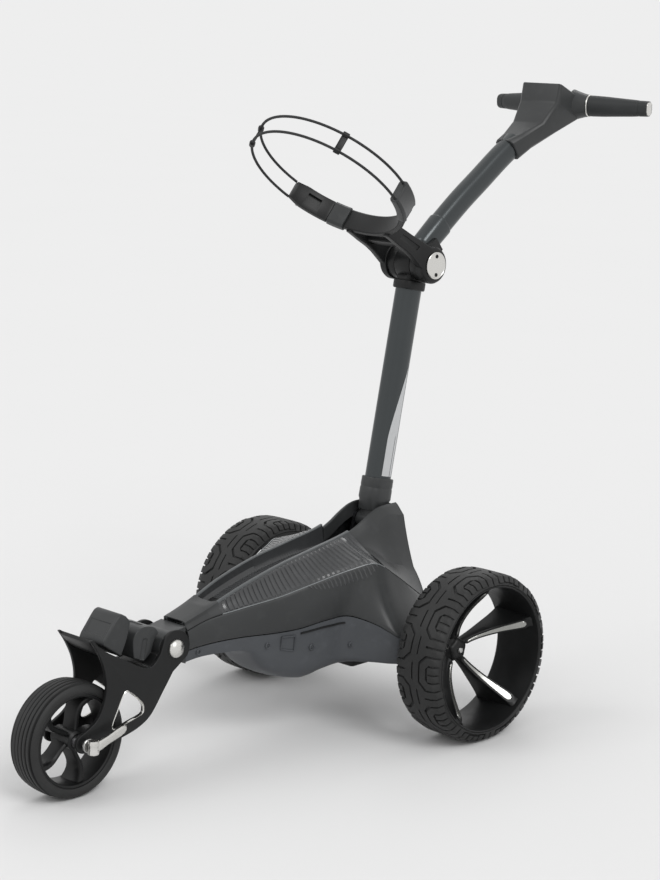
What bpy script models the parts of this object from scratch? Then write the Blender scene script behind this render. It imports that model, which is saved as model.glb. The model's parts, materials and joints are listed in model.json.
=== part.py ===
"""Three-wheeled electric golf trolley, as an assembly of separate solids.

Metres, +Z up. The front wheel points along -Y and the left side is +X. The ground is z = 0.
Every place below is given in the trolley's own frame, whose origin is on the ground under the
rear axle. The root empty carries that frame, and each moving piece hangs on an empty that
stands on its joint's axis.
"""

import math

import bmesh
import bpy
from mathutils import Matrix, Vector

# Driving dimensions
REAR_AXLE_Y = 0.1014
WHEELBASE = 0.660
WHEEL_OUTER_X = 0.295
GAP = 0.0004
WALL = 0.003

REAR_RADIUS = 0.1425
REAR_TYRE_WIDTH = 0.094
REAR_TYRE_INNER = 0.1240
REAR_BARREL_INNER = 0.1165
SPOKE_COUNT = 5
SPOKE_START = math.radians(20.0)
AXLE_RADIUS = 0.008
HUB_OUTER_X = 0.2160

FRONT_RADIUS = 0.092
FRONT_TYRE_WIDTH = 0.058
FRONT_TYRE_INNER = 0.0765
FRONT_BARREL_INNER = 0.0700

FRONT_PIVOT = Vector((0.0, -0.4738, 0.2052))
FORK_INNER_X = 0.0355
FORK_THICKNESS = 0.0065

MAST_LEAN = math.radians(11.7)
MAST_PIVOT = Vector((0.0, 0.0121, 0.3250))
MAST_WIDTH = 0.038
MAST_DEPTH = 0.047
MAST_TUBE_START = 0.045
MAST_TUBE_END = 0.4135
HINGE = Vector((0.0, 0.1085, 0.7660))
KNUCKLE_RADIUS = 0.027

ARM_RISE = math.radians(37.0)
ARM_WIDTH = 0.036
ARM_DEPTH = 0.041

RING_TILT = math.radians(40.0)
RING_CENTRE = Vector((0.0, -0.0844, 0.9372))
RING_RADIUS = 0.139
RING_SPACING = 0.0306
COVER_START = 10.0
SADDLE_START = 36.4
SADDLE_END = 113.0
COVER_END = 126.6
BUCKLE_END = 158.4
SEAM_ANGLE = 0.4
CORD_RADIUS = 0.0022

GRIP_INNER = Vector((0.0620, 0.5060, 1.0243))
GRIP_OUTER = Vector((0.1731, 0.5370, 1.0225))
GRIP_INNER_RADIUS = 0.0185
GRIP_OUTER_RADIUS = 0.0138

FRONT_HUB = Vector((0.0, -WHEELBASE, FRONT_RADIUS))
REAR_HUB = Vector((0.0, 0.0, REAR_RADIUS))

# Colours and finishes: name, colour, roughness, metallic
FINISHES = {
    "black_plastic": ((0.018, 0.019, 0.020), 0.45, 0.0),
    "charcoal_plastic": ((0.045, 0.048, 0.050), 0.40, 0.0),
    "casing_plastic": ((0.060, 0.068, 0.078), 0.50, 0.0),
    "carbon_trim": ((0.050, 0.052, 0.056), 0.30, 0.2),
    "tyre_rubber": ((0.022, 0.023, 0.023), 0.62, 0.0),
    "soft_rubber": ((0.030, 0.031, 0.032), 0.70, 0.0),
    "graphite_metal": ((0.075, 0.082, 0.086), 0.35, 0.8),
    "satin_metal": ((0.62, 0.62, 0.60), 0.28, 1.0),
    "steel": ((0.45, 0.45, 0.46), 0.35, 1.0),
    "screen_glass": ((0.010, 0.012, 0.014), 0.08, 0.0),
    "dark_metal": ((0.10, 0.10, 0.11), 0.40, 0.9),
}
SIDES = (("left", 1.0), ("right", -1.0))


def clear_scene():
    for item in list(bpy.data.objects):
        bpy.data.objects.remove(item, do_unlink=True)


def make_material(name):
    colour, roughness, metallic = FINISHES[name]
    found = bpy.data.materials.get(name)
    if found:
        return found
    made = bpy.data.materials.new(name)
    made.use_nodes = True
    shader = made.node_tree.nodes["Principled BSDF"]
    shader.inputs["Base Color"].default_value = (*colour, 1.0)
    shader.inputs["Roughness"].default_value = roughness
    shader.inputs["Metallic"].default_value = metallic
    made.diffuse_color = (*colour, 1.0)
    return made


def axis_empty(name, place, parent=None):
    """An empty at a joint's axis, placed in the trolley's frame."""
    empty = bpy.data.objects.new(name, None)
    bpy.context.scene.collection.objects.link(empty)
    empty.empty_display_size = 0.03
    empty.parent = parent
    empty["place"] = tuple(place)
    parent_place = Vector(parent["place"]) if parent else Vector((0.0, 0.0, 0.0))
    empty.location = Vector(place) - parent_place
    return empty


def add(name, shape, finish, pivot, smooth=35.0):
    """Link a bmesh, given in the trolley's frame, as a named object hanging on its pivot."""
    bmesh.ops.recalc_face_normals(shape, faces=shape.faces[:])
    bmesh.ops.translate(shape, verts=shape.verts[:], vec=-Vector(pivot["place"]))
    mesh = bpy.data.meshes.new(name)
    shape.to_mesh(mesh)
    shape.free()
    mesh.shade_smooth()
    mesh.set_sharp_from_angle(angle=math.radians(smooth))
    mesh.materials.append(make_material(finish))
    made = bpy.data.objects.new(name, mesh)
    bpy.context.scene.collection.objects.link(made)
    made.parent = pivot
    return made


def helper(shape, pivot):
    """A hidden cutter, or a piece that is joined into another one."""
    made = add("helper", shape, "black_plastic", pivot)
    made.hide_render = True
    made.display_type = "WIRE"
    return made


def combine(target, shape, operation):
    other = helper(shape, target.parent)
    boolean = target.modifiers.new(operation.lower(), "BOOLEAN")
    boolean.operation = operation
    boolean.object = other
    boolean.solver = "EXACT"
    return target


def cut(target, shape):
    return combine(target, shape, "DIFFERENCE")


def join(target, shape):
    return combine(target, shape, "UNION")


def bevel(target, width, segments=2, angle=40.0):
    rounding = target.modifiers.new("edge_rounding", "BEVEL")
    rounding.width = width
    rounding.segments = segments
    rounding.limit_method = "ANGLE"
    rounding.angle_limit = math.radians(angle)
    return target


# Shapes

def turned(profile, centre, steps=48, axis=Vector((1.0, 0.0, 0.0))):
    """Spin a closed profile of (radius, distance along the axis) points round an axis."""
    shape = bmesh.new()
    points = [shape.verts.new((along, 0.0, -radius)) for radius, along in profile]
    edges = []
    for start, end in zip(points, points[1:] + points[:1]):
        if profile[points.index(start)][0] == 0.0 and profile[points.index(end)][0] == 0.0:
            continue
        edges.append(shape.edges.new((start, end)))
    bmesh.ops.spin(
        shape,
        geom=points + edges,
        cent=(0.0, 0.0, 0.0),
        axis=(1.0, 0.0, 0.0),
        angle=math.tau,
        steps=steps,
        use_merge=True,
    )
    bmesh.ops.remove_doubles(shape, verts=shape.verts[:], dist=1e-6)
    turn = Vector((1.0, 0.0, 0.0)).rotation_difference(axis.normalized())
    matrix = Matrix.Translation(centre) @ turn.to_matrix().to_4x4()
    bmesh.ops.transform(shape, matrix=matrix, verts=shape.verts[:])
    return shape


def rod(start, end, radius, steps=12):
    """A plain cylinder from one point to another."""
    start = Vector(start)
    end = Vector(end)
    length = (end - start).length
    profile = [(0.0, 0.0), (radius, 0.0), (radius, length), (0.0, length)]
    return turned(profile, start, steps, end - start)


def prism(outline, low, high, axis="x"):
    """Extrude a closed outline of (y, z) points along X, or of (x, z) points along Y."""
    shape = bmesh.new()
    if axis == "x":
        points = [shape.verts.new((low, y, z)) for y, z in outline]
        along = Vector((high - low, 0.0, 0.0))
    else:
        points = [shape.verts.new((x, low, z)) for x, z in outline]
        along = Vector((0.0, high - low, 0.0))
    face = shape.faces.new(points)
    grown = bmesh.ops.extrude_face_region(shape, geom=[face])
    moved = [item for item in grown["geom"] if isinstance(item, bmesh.types.BMVert)]
    bmesh.ops.translate(shape, verts=moved, vec=along)
    return shape


def block(centre, size, tilt=0.0):
    """A box whose length runs along Y, tipped about X so that +Y rises by the tilt."""
    shape = bmesh.new()
    matrix = Matrix.Translation(centre) @ Matrix.Rotation(tilt, 4, "X") @ Matrix.Diagonal((*size, 1.0))
    bmesh.ops.create_cube(shape, size=1.0, matrix=matrix)
    return shape


def skin_rows(shape, pairs):
    """Join each pair of equally long rows of points with a belt of faces."""
    for row, following in pairs:
        count = len(row)
        for index in range(count):
            after = (index + 1) % count
            shape.faces.new((row[index], row[after], following[after], following[index]))


def loft(rings):
    """Skin rings of equally many points, with a cap at each end."""
    shape = bmesh.new()
    rows = [[shape.verts.new(point) for point in ring] for ring in rings]
    skin_rows(shape, zip(rows, rows[1:]))
    shape.faces.new(rows[0])
    shape.faces.new(rows[-1])
    return shape


def wall_loft(rings):
    """Skin rings that go out along a wall's face and back along its other face, split alike on both."""
    shape = bmesh.new()
    rows = [[shape.verts.new(point) for point in ring] for ring in rings]
    count = len(rings[0])
    for row, following in zip(rows, rows[1:]):
        for index in range(count):
            after = (index + 1) % count
            if index < count // 2:
                shape.faces.new((row[index], row[after], following[after]))
                shape.faces.new((row[index], following[after], following[index]))
            else:
                shape.faces.new((row[index], row[after], following[index]))
                shape.faces.new((row[after], following[after], following[index]))
    shape.faces.new(rows[0])
    shape.faces.new(rows[-1])
    return shape


def oval(centre, across, along, width, depth, steps=18, squareness=2.5):
    """A rounded oval ring of points: width on the first direction, depth on the second."""
    ring = []
    for index in range(steps):
        angle = math.tau * index / steps
        c = math.cos(angle)
        s = math.sin(angle)
        u = math.copysign(abs(c) ** (2.0 / squareness), c) * width / 2.0
        v = math.copysign(abs(s) ** (2.0 / squareness), s) * depth / 2.0
        ring.append(Vector(centre) + across * u + along * v)
    return ring


def hollow_tube(centres, directions, width, depth, wall):
    """A tube of oval section, open at both ends, along a list of centres."""
    across = Vector((1.0, 0.0, 0.0))
    outer = []
    inner = []
    for centre, direction in zip(centres, directions):
        side = across.cross(direction).normalized()
        outer.append(oval(centre, across, side, width, depth))
        inner.append(oval(centre, across, side, width - 2.0 * wall, depth - 2.0 * wall))
    shape = bmesh.new()
    rows = [[shape.verts.new(point) for point in ring] for ring in outer + inner[::-1]]
    skin_rows(shape, zip(rows, rows[1:] + rows[:1]))
    return shape


def arc_points(centre, radius, start, end, steps):
    """Points of (y, z) along an arc, with angles in degrees from +Y towards +Z."""
    found = []
    for index in range(steps + 1):
        angle = math.radians(start + (end - start) * index / steps)
        found.append((centre[0] + radius * math.cos(angle), centre[1] + radius * math.sin(angle)))
    return found


def follow(line, y):
    """The values of a guide line at a station y: straight runs eased by a cubic through its points."""
    for index in range(len(line) - 1):
        start = line[index]
        end = line[index + 1]
        if y <= end[0]:
            break
    before = line[max(index - 1, 0)]
    beyond = line[min(index + 2, len(line) - 1)]
    t = min(max((y - start[0]) / (end[0] - start[0]), 0.0), 1.0)
    values = []
    for k in range(1, len(start)):
        first = (end[k] - before[k]) / max(end[0] - before[0], 1e-6) * (end[0] - start[0])
        last = (beyond[k] - start[k]) / max(beyond[0] - start[0], 1e-6) * (end[0] - start[0])
        h = end[k] - start[k]
        values.append(start[k] + first * t + (3 * h - 2 * first - last) * t * t + (first + last - 2 * h) * t ** 3)
    return values


# Body: guide lines along the trolley, each as (y, half width, height) or (y, height)
CREST = [(-0.470, 0.0180, 0.2290), (-0.400, 0.0200, 0.2490), (-0.320, 0.0260, 0.2770),
         (-0.240, 0.0285, 0.2980), (-0.160, 0.0285, 0.3120), (-0.080, 0.0290, 0.3270),
         (0.000, 0.0340, 0.3560), (0.045, 0.0400, 0.3560)]
FLOOR = [(-0.470, 0.2200), (-0.400, 0.2340), (-0.320, 0.2570), (-0.240, 0.2760),
         (-0.160, 0.2880), (-0.080, 0.2940), (0.045, 0.2960)]
EDGE = [(-0.470, 0.0300, 0.2160), (-0.400, 0.0350, 0.2360), (-0.340, 0.0480, 0.2450),
        (-0.267, 0.0640, 0.2540), (-0.214, 0.0800, 0.2670), (-0.144, 0.1030, 0.2845),
        (-0.098, 0.1190, 0.2900), (-0.050, 0.1180, 0.2620), (0.000, 0.1120, 0.2280),
        (0.045, 0.0980, 0.2000)]
SEAM = [(-0.470, 0.0300, 0.1890), (-0.400, 0.0345, 0.1940), (-0.341, 0.0480, 0.1960),
        (-0.276, 0.0620, 0.1930), (-0.231, 0.0740, 0.1940), (-0.178, 0.0910, 0.2030),
        (-0.143, 0.1050, 0.2050), (-0.118, 0.1430, 0.1930), (-0.095, 0.1800, 0.1720),
        (0.000, 0.1880, 0.1620), (0.045, 0.1800, 0.1580)]
UNDER = [(-0.470, 0.1670), (-0.400, 0.1740), (-0.300, 0.1680), (-0.240, 0.1480),
         (-0.178, 0.1380), (-0.120, 0.1320), (-0.060, 0.1260), (0.045, 0.1240)]
BELLY = [(-0.470, 0.1650), (-0.400, 0.1720), (-0.320, 0.1580), (-0.278, 0.1190),
         (-0.213, 0.0960), (-0.173, 0.1050), (-0.126, 0.1150), (-0.085, 0.1150),
         (-0.050, 0.1110), (0.045, 0.1080)]
STATIONS = [-0.470, -0.400, -0.340, -0.290, -0.245, -0.213, -0.174, -0.143, -0.118, -0.095,
            -0.050, 0.000, 0.045]
FLOOR_CENTRE, FLOOR_EDGE, CREST_IN, CREST_OUT, SHOULDER, FLANK, SEAM_POINT, UNDER_EDGE, BELLY_EDGE, \
    BELLY_CENTRE = range(10)


def half_section(y):
    """The body's left outline at a station, from the channel's middle round to the belly."""
    crest_x, crest_z = follow(CREST, y)
    floor_z = follow(FLOOR, y)[0]
    edge_x, edge_z = follow(EDGE, y)
    seam_x, seam_z = follow(SEAM, y)
    under_z = follow(UNDER, y)[0]
    belly_z = follow(BELLY, y)[0]
    flare = min(max((y + 0.150) / 0.06, 0.0), 1.0)
    bulge = 0.004 * (1.0 - flare) - 0.012 * flare
    return [
        (0.0, floor_z),
        (crest_x - 0.003, floor_z),
        (crest_x, crest_z),
        (crest_x + 0.006, crest_z - 0.001),
        (edge_x, edge_z),
        ((edge_x + seam_x) / 2.0 + bulge, (edge_z + seam_z) / 2.0 + bulge * 0.4),
        (seam_x, seam_z),
        (seam_x - 0.007, under_z),
        (seam_x * 0.55, belly_z + 0.004),
        (0.0, belly_z),
    ]


def inward(section, wall):
    """The outline moved into the body by the wall's thickness."""
    found = []
    last = len(section) - 1
    for index, (x, z) in enumerate(section):
        ax, az = section[max(index - 1, 0)]
        bx, bz = section[min(index + 1, last)]
        along = Vector((bx - ax, bz - az)).normalized()
        normal = Vector((along.y, -along.x))
        if index in (0, last):
            normal = Vector((0.0, 1.0 if index == last else -1.0))
        found.append((x + normal.x * wall, z + normal.y * wall))
    return found


def trimmed(points, clearance):
    """Shorten a run of points at both ends."""
    points = [Vector(point) for point in points]
    first = points[1] - points[0]
    last = points[-2] - points[-1]
    points[0] = points[0] + first.normalized() * clearance
    points[-1] = points[-1] + last.normalized() * clearance
    return points


def stations_between(low, high):
    return [low] + [y for y in STATIONS if low + 0.004 < y < high - 0.004] + [high]


def skin_shape(first, last, low, high, side, wall=WALL):
    """A moulded wall that follows the body between two outline points and two stations."""
    rings = []
    for y in stations_between(low, high):
        outer = half_section(y)
        inner = inward(outer, wall)
        outer = trimmed(outer[first:last + 1], GAP)
        inner = trimmed(inner[first:last + 1], GAP)
        ring = outer + inner[::-1]
        rings.append([(side * p.x, y, p.y) for p in ring])
    return wall_loft(rings)


def skin_across(name, first, last, low, high, finish, pivot, wall=WALL):
    """A moulded wall that runs from the left side over the middle to the right side."""
    rings = []
    for y in stations_between(low, high):
        outer = half_section(y)
        inner = inward(outer, wall)
        if first == FLOOR_CENTRE:
            outer = outer[first:last + 1]
            inner = inner[first:last + 1]
            outer = outer[:-1] + [tuple(trimmed(outer, GAP)[-1])]
            inner = inner[:-1] + [tuple(trimmed(inner, GAP)[-1])]
            outer = outer[::-1]
            inner = inner[::-1]
        else:
            outer = outer[first:last + 1]
            inner = inner[first:last + 1]
            outer = [tuple(trimmed(outer, GAP)[0])] + outer[1:]
            inner = [tuple(trimmed(inner, GAP)[0])] + inner[1:]
        around = [(x, z) for x, z in outer] + [(-x, z) for x, z in outer[-2::-1]]
        within = [(x, z) for x, z in inner] + [(-x, z) for x, z in inner[-2::-1]]
        rings.append([(x, y, z) for x, z in around + within[::-1]])
    return add(name, wall_loft(rings), finish, pivot)


def build_body(root):
    skin_across("channel_liner", FLOOR_CENTRE, CREST_OUT, -0.440, -0.078, "carbon_trim", root)
    casing = skin_across("lower_casing", SEAM_POINT, BELLY_CENTRE, -0.440, 0.044,
                         "casing_plastic", root)
    hole = [(0.0, -0.2), (0.0235, -0.2), (0.0235, 0.2), (0.0, 0.2)]
    cut(casing, turned(hole, REAR_HUB, 24))
    for side_name, side in SIDES:
        add(f"{side_name}_carbon_trim", skin_shape(CREST_OUT, SHOULDER, -0.440, -0.078, side),
            "carbon_trim", root)
        add(f"{side_name}_side_panel", skin_shape(SHOULDER, SEAM_POINT, -0.440, 0.044, side),
            "charcoal_plastic", root)
    build_rear_cowl(root)
    build_nose(root)


def build_rear_cowl(root):
    """The moulding round the mast's foot: a flank on each side and the plate behind them."""
    section = half_section(0.044)[CREST_IN:UNDER_EDGE + 1]
    notch = (section[0][0] - 0.006, section[0][1] - 0.020)
    left = [notch] + list(section)
    outline = left + [(-x, z) for x, z in left[::-1]]
    cowl = add("rear_cowl", prism(outline, 0.0445, 0.0475, "y"), "charcoal_plastic", root)
    for side in (1.0, -1.0):
        join(cowl, skin_shape(CREST_IN, SHOULDER, -0.077, 0.0460, side))


def build_nose(root):
    """The cast nose that carries the front bracket's pivot bolt."""
    pivot_yz = (FRONT_PIVOT.y, FRONT_PIVOT.z)
    outline = arc_points(pivot_yz, 0.0240, 75.0, 285.0, 12)
    outline += [(-0.4415, 0.1700), (-0.4415, 0.2330)]
    nose = add("nose_casting", prism(outline, -0.0300, 0.0300), "charcoal_plastic", root)
    cut(nose, rod((-0.04, *pivot_yz), (0.04, *pivot_yz), 0.0066, 12))
    beam = [(-0.4385, 0.1985), (-0.2900, 0.2130), (-0.0300, 0.2230), (0.0300, 0.2230),
            (0.0300, 0.2420), (-0.0300, 0.2420), (-0.2900, 0.2330), (-0.4385, 0.2160)]
    spine = add("spine_beam", prism(beam, -0.0140, 0.0140), "dark_metal", root)
    bevel(spine, 0.001, 1)


def build_mast_bracket(root):
    """The fork on the spine in which the mast's foot turns."""
    pivot_yz = (MAST_PIVOT.y, MAST_PIVOT.z)
    base = add("mast_bracket", block((0.0, 0.0040, 0.2570), (0.0590, 0.0640, 0.0290)),
               "dark_metal", root)
    for side in (1.0, -1.0):
        cheek = [(-0.0240, 0.2600), (0.0380, 0.2600)] + arc_points(pivot_yz, 0.0165, 0.0, 180.0, 10)
        low, high = sorted((side * 0.0240, side * 0.0293))
        join(base, prism(cheek, low, high))
    cut(base, rod((-0.05, *pivot_yz), (0.05, *pivot_yz), 0.0056, 12))
    add("mast_pivot_pin", rod((-0.0290, *pivot_yz), (0.0290, *pivot_yz), 0.0050), "steel", root)


def build_drive(root):
    """Battery, motor, gearbox, controller and the fixed axle tubes."""
    battery = add("battery_pack", block((0.0, -0.1550, 0.1650), (0.0780, 0.1100, 0.0840)),
                  "black_plastic", root)
    bevel(battery, 0.004, 2)
    gearbox = add("gearbox_housing", block((0.0130, -0.0300, 0.1480), (0.0640, 0.0840, 0.0500)),
                  "dark_metal", root)
    bevel(gearbox, 0.004, 2)
    motor = [(0.0, -0.115), (0.024, -0.115), (0.026, -0.113), (0.026, -0.0200), (0.0, -0.0200)]
    add("drive_motor", turned(motor, Vector((0.0, -0.0590, 0.1540)), 28), "steel", root)
    board = add("motor_controller", block((0.0780, -0.0350, 0.1960), (0.0500, 0.0700, 0.0160)),
                "black_plastic", root)
    bevel(board, 0.002, 1)
    cover = add("drive_cover", block((0.0100, -0.0220, 0.0963), (0.0600, 0.1000, 0.0235)),
                "black_plastic", root)
    cut(cover, block((0.0100, -0.0220, 0.1000), (0.0540, 0.0940, 0.0250)))
    bevel(cover, 0.006, 1, 60.0)
    for side_name, side in SIDES:
        tube = [(0.0175, 0.0150), (0.0205, 0.0150), (0.0205, 0.1800), (0.0175, 0.1800)]
        tube = [(radius, side * along) for radius, along in tube]
        join(gearbox, turned(tube, REAR_HUB, 28))
        race = [(0.0085, 0.1690), (0.0170, 0.1690), (0.0170, 0.1790), (0.0085, 0.1790)]
        race = [(radius, side * along) for radius, along in race]
        add(f"{side_name}_axle_bearing", turned(race, REAR_HUB, 24), "steel", root)


def vane(angle, hub, side, reach, blades):
    """One wheel spoke: a vane that widens from the hub out to the rim's lip."""
    rings = []
    outwards = Vector((0.0, math.cos(angle), math.sin(angle)))
    around = Vector((0.0, -math.sin(angle), math.cos(angle)))
    for radius, inner_x, outer_x, thickness in blades:
        middle = hub + outwards * min(radius, reach)
        front = thickness * 0.55
        rings.append([
            middle + around * thickness + Vector((side * inner_x, 0.0, 0.0)),
            middle + around * front + Vector((side * outer_x, 0.0, 0.0)),
            middle - around * front + Vector((side * outer_x, 0.0, 0.0)),
            middle - around * thickness + Vector((side * inner_x, 0.0, 0.0)),
        ])
    return loft(rings)


def build_rear_wheels(root):
    inner_x = WHEEL_OUTER_X - REAR_TYRE_WIDTH
    shoulder = 0.006
    for side_name, side in SIDES:
        pivot = axis_empty(f"{side_name}_wheel_axis", REAR_HUB, root)
        tread = [
            (REAR_TYRE_INNER, inner_x + 0.001),
            (REAR_RADIUS - shoulder, inner_x),
            (REAR_RADIUS - 0.0015, inner_x + shoulder * 0.6),
            (REAR_RADIUS, inner_x + 2.0 * shoulder),
            (REAR_RADIUS, WHEEL_OUTER_X - 2.0 * shoulder),
            (REAR_RADIUS - 0.0015, WHEEL_OUTER_X - shoulder * 0.6),
            (REAR_RADIUS - shoulder, WHEEL_OUTER_X),
            (REAR_TYRE_INNER, WHEEL_OUTER_X - 0.001),
        ]
        tread = [(radius, side * along) for radius, along in tread]
        add(f"{side_name}_tyre", turned(tread, REAR_HUB, 36), "tyre_rubber", pivot)
        outer = REAR_TYRE_INNER - GAP
        barrel = [(outer, inner_x + 0.002), (outer, WHEEL_OUTER_X - 0.002),
                  (REAR_BARREL_INNER, WHEEL_OUTER_X - 0.002), (REAR_BARREL_INNER, inner_x + 0.002)]
        barrel = [(radius, side * along) for radius, along in barrel]
        rim = add(f"{side_name}_rim", turned(barrel, REAR_HUB, 36), "black_plastic", pivot)
        for count in range(SPOKE_COUNT):
            angle = SPOKE_START + count * math.tau / SPOKE_COUNT
            blades = [(0.012, 0.2020, 0.2140, 0.0075), (0.045, 0.2050, 0.2230, 0.0080),
                      (0.080, 0.2080, 0.2480, 0.0095), (0.119, 0.2120, 0.2850, 0.0130)]
            join(rim, vane(angle, REAR_HUB, side, 0.119, blades))
        hub = [(0.0, 0.1995), (0.0190, 0.1995), (0.0190, HUB_OUTER_X), (0.0, HUB_OUTER_X)]
        hub = [(radius, side * along) for radius, along in hub]
        join(rim, turned(hub, REAR_HUB, 16))
        bore = rod((side * 0.19, 0.0, REAR_RADIUS), (side * 0.2120, 0.0, REAR_RADIUS), 0.0084, 12)
        cut(rim, bore)
        add(f"{side_name}_half_axle",
            rod((side * 0.0470, 0.0, REAR_RADIUS), (side * 0.2115, 0.0, REAR_RADIUS), AXLE_RADIUS),
            "steel", pivot)


def build_front_wheel(fold):
    pivot = axis_empty("front_wheel_axis", FRONT_HUB, fold)
    half = FRONT_TYRE_WIDTH / 2.0
    tread = [
        (FRONT_TYRE_INNER, -half + 0.002), (FRONT_RADIUS - 0.006, -half),
        (FRONT_RADIUS - 0.0015, -half + 0.006), (FRONT_RADIUS, -half + 0.014),
        (FRONT_RADIUS, half - 0.014), (FRONT_RADIUS - 0.0015, half - 0.006),
        (FRONT_RADIUS - 0.006, half), (FRONT_TYRE_INNER, half - 0.002),
    ]
    add("front_tyre", turned(tread, FRONT_HUB, 32), "tyre_rubber", pivot)
    outer = FRONT_TYRE_INNER - GAP
    barrel = [(outer, -half + 0.003), (outer, half - 0.003),
              (FRONT_BARREL_INNER, half - 0.003), (FRONT_BARREL_INNER, -half + 0.003)]
    rim = add("front_rim", turned(barrel, FRONT_HUB, 32), "black_plastic", pivot)
    for count in range(SPOKE_COUNT):
        angle = math.radians(60.0) + count * math.tau / SPOKE_COUNT
        blades = [(0.008, -0.014, 0.014, 0.0050), (0.040, -0.012, 0.012, 0.0055),
                  (0.0720, -0.020, 0.020, 0.0090)]
        join(rim, vane(angle, FRONT_HUB, 1.0, 0.0720, blades))
    join(rim, rod((-0.0240, FRONT_HUB.y, FRONT_HUB.z), (0.0240, FRONT_HUB.y, FRONT_HUB.z), 0.0140, 16))
    cut(rim, rod((-0.04, FRONT_HUB.y, FRONT_HUB.z), (0.04, FRONT_HUB.y, FRONT_HUB.z), 0.0107, 12))
    sleeve = [(0.0054, -0.0235), (0.0101, -0.0235), (0.0101, 0.0235), (0.0054, 0.0235)]
    add("front_bearing_sleeve", turned(sleeve, FRONT_HUB, 12), "steel", pivot)


def fork_outline():
    """The side plate's outline in (y, z): pivot eye, bag cradle edge, nose and axle boss."""
    eye = arc_points((FRONT_PIVOT.y, FRONT_PIVOT.z), 0.0300, -35.0, 130.0, 10)
    cradle = [(-0.5050, 0.2020), (-0.5270, 0.1850), (-0.5680, 0.2030), (-0.6170, 0.2310),
              (-0.6400, 0.2530), (-0.6440, 0.2520)]
    front = [(-0.6310, 0.2320), (-0.6190, 0.2050), (-0.6140, 0.1750), (-0.6190, 0.1480),
             (-0.6330, 0.1240), (-0.6560, 0.1100)]
    boss = arc_points((FRONT_HUB.y, FRONT_HUB.z), 0.0155, 110.0, 290.0, 8)
    under = [(-0.6200, 0.0790), (-0.5850, 0.0840), (-0.5500, 0.0930), (-0.5250, 0.1050),
             (-0.5000, 0.1400), (-0.4790, 0.1680)]
    return eye + cradle + front + boss + under


def build_fork(fold):
    """The folding front bracket: two side plates, the bag cradle, the rest block and the bolt."""
    outline = fork_outline()
    window = [(-0.5784, 0.1560), (-0.5670, 0.1530), (-0.5450, 0.1330), (-0.5410, 0.1210),
              (-0.5460, 0.1130), (-0.5960, 0.1010), (-0.6040, 0.1080)]
    hub_yz = (FRONT_HUB.y, FRONT_HUB.z)
    pivot_yz = (FRONT_PIVOT.y, FRONT_PIVOT.z)
    outer_x = FORK_INNER_X + FORK_THICKNESS
    for side_name, side in SIDES:
        low, high = sorted((side * FORK_INNER_X, side * outer_x))
        plate = add(f"{side_name}_fork_plate", prism(outline, low, high), "black_plastic", fold)
        cut(plate, prism(window, -0.06, 0.06))
        cut(plate, rod((-0.06, *hub_yz), (0.06, *hub_yz), 0.0056, 12))
        cut(plate, rod((-0.06, *pivot_yz), (0.06, *pivot_yz), 0.0066, 12))
        dome = [(0.0, outer_x + GAP), (0.0150, outer_x + GAP), (0.0140, outer_x + 0.0045),
                (0.0085, outer_x + 0.0085), (0.0, outer_x + 0.0100)]
        dome = [(radius, side * along) for radius, along in dome]
        add(f"{side_name}_pivot_cap", turned(dome, FRONT_PIVOT, 18), "satin_metal", fold)
    add("pivot_bolt", rod((-outer_x, *pivot_yz), (outer_x, *pivot_yz), 0.0060), "steel", fold)
    reach = FORK_INNER_X - GAP
    top = [(-0.5080, 0.2010), (-0.5270, 0.1845), (-0.5680, 0.2025), (-0.6170, 0.2305), (-0.6400, 0.2525)]
    below = [(-0.6430, 0.2490), (-0.6190, 0.2255), (-0.5690, 0.1972), (-0.5270, 0.1790), (-0.5060, 0.1945)]
    cradle = add("bag_cradle", prism(top + below, -reach, reach), "black_plastic", fold)
    bevel(cradle, 0.0008, 1)
    stop = [(-0.6115, 0.2345), (-0.6075, 0.2430), (-0.5790, 0.2770), (-0.5730, 0.2780),
            (-0.5560, 0.2640), (-0.5640, 0.2330), (-0.5760, 0.2090)]
    stop = [(y, z + 0.0010) for y, z in stop]
    rest = add("bag_stop_block", prism(stop, -0.0310, 0.0310), "charcoal_plastic", fold)
    bevel(rest, 0.0025, 1)
    saddle = [(-0.5480, 0.2010), (-0.5480, 0.2330), (-0.5400, 0.2440), (-0.5250, 0.2480), (-0.5060, 0.2440),
              (-0.4960, 0.2330), (-0.5050, 0.2240), (-0.5100, 0.2120), (-0.5130, 0.2030), (-0.5270, 0.1920)]
    latch = add("latch_housing", prism(saddle, -0.0280, 0.0280), "charcoal_plastic", fold)
    bevel(latch, 0.0020, 1)
    add("front_axle_bolt", rod((-0.0520, *hub_yz), (0.0540, *hub_yz), 0.0050), "steel", fold)


def build_quick_release(fold):
    """The cam lever on the front axle's left end, which swings out to free the wheel."""
    place = FRONT_HUB + Vector((0.0640, 0.0, 0.0))
    pivot = axis_empty("quick_release_axis", place, fold)
    up = Vector((0.0, 0.0, 1.0))
    lever = add("quick_release_lever", rod(place - up * 0.0110, place + up * 0.0110, 0.0090, 20),
                "satin_metal", pivot)
    rings = []
    for y, z, x, width, height in ((-0.6600, 0.0920, 0.0640, 0.012, 0.018),
                                   (-0.6350, 0.0960, 0.0630, 0.007, 0.014),
                                   (-0.6050, 0.1020, 0.0590, 0.005, 0.015),
                                   (-0.5900, 0.1050, 0.0570, 0.004, 0.012)):
        rings.append([(x - width / 2.0, y, z - height / 2.0), (x + width / 2.0, y, z - height / 2.0),
                      (x + width / 2.0, y, z + height / 2.0), (x - width / 2.0, y, z + height / 2.0)])
    join(lever, loft(rings))


def mast_point(distance):
    """A point on the mast's middle line, measured up from the mast's pivot."""
    return MAST_PIVOT + Vector((0.0, math.sin(MAST_LEAN), math.cos(MAST_LEAN))) * distance


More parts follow.
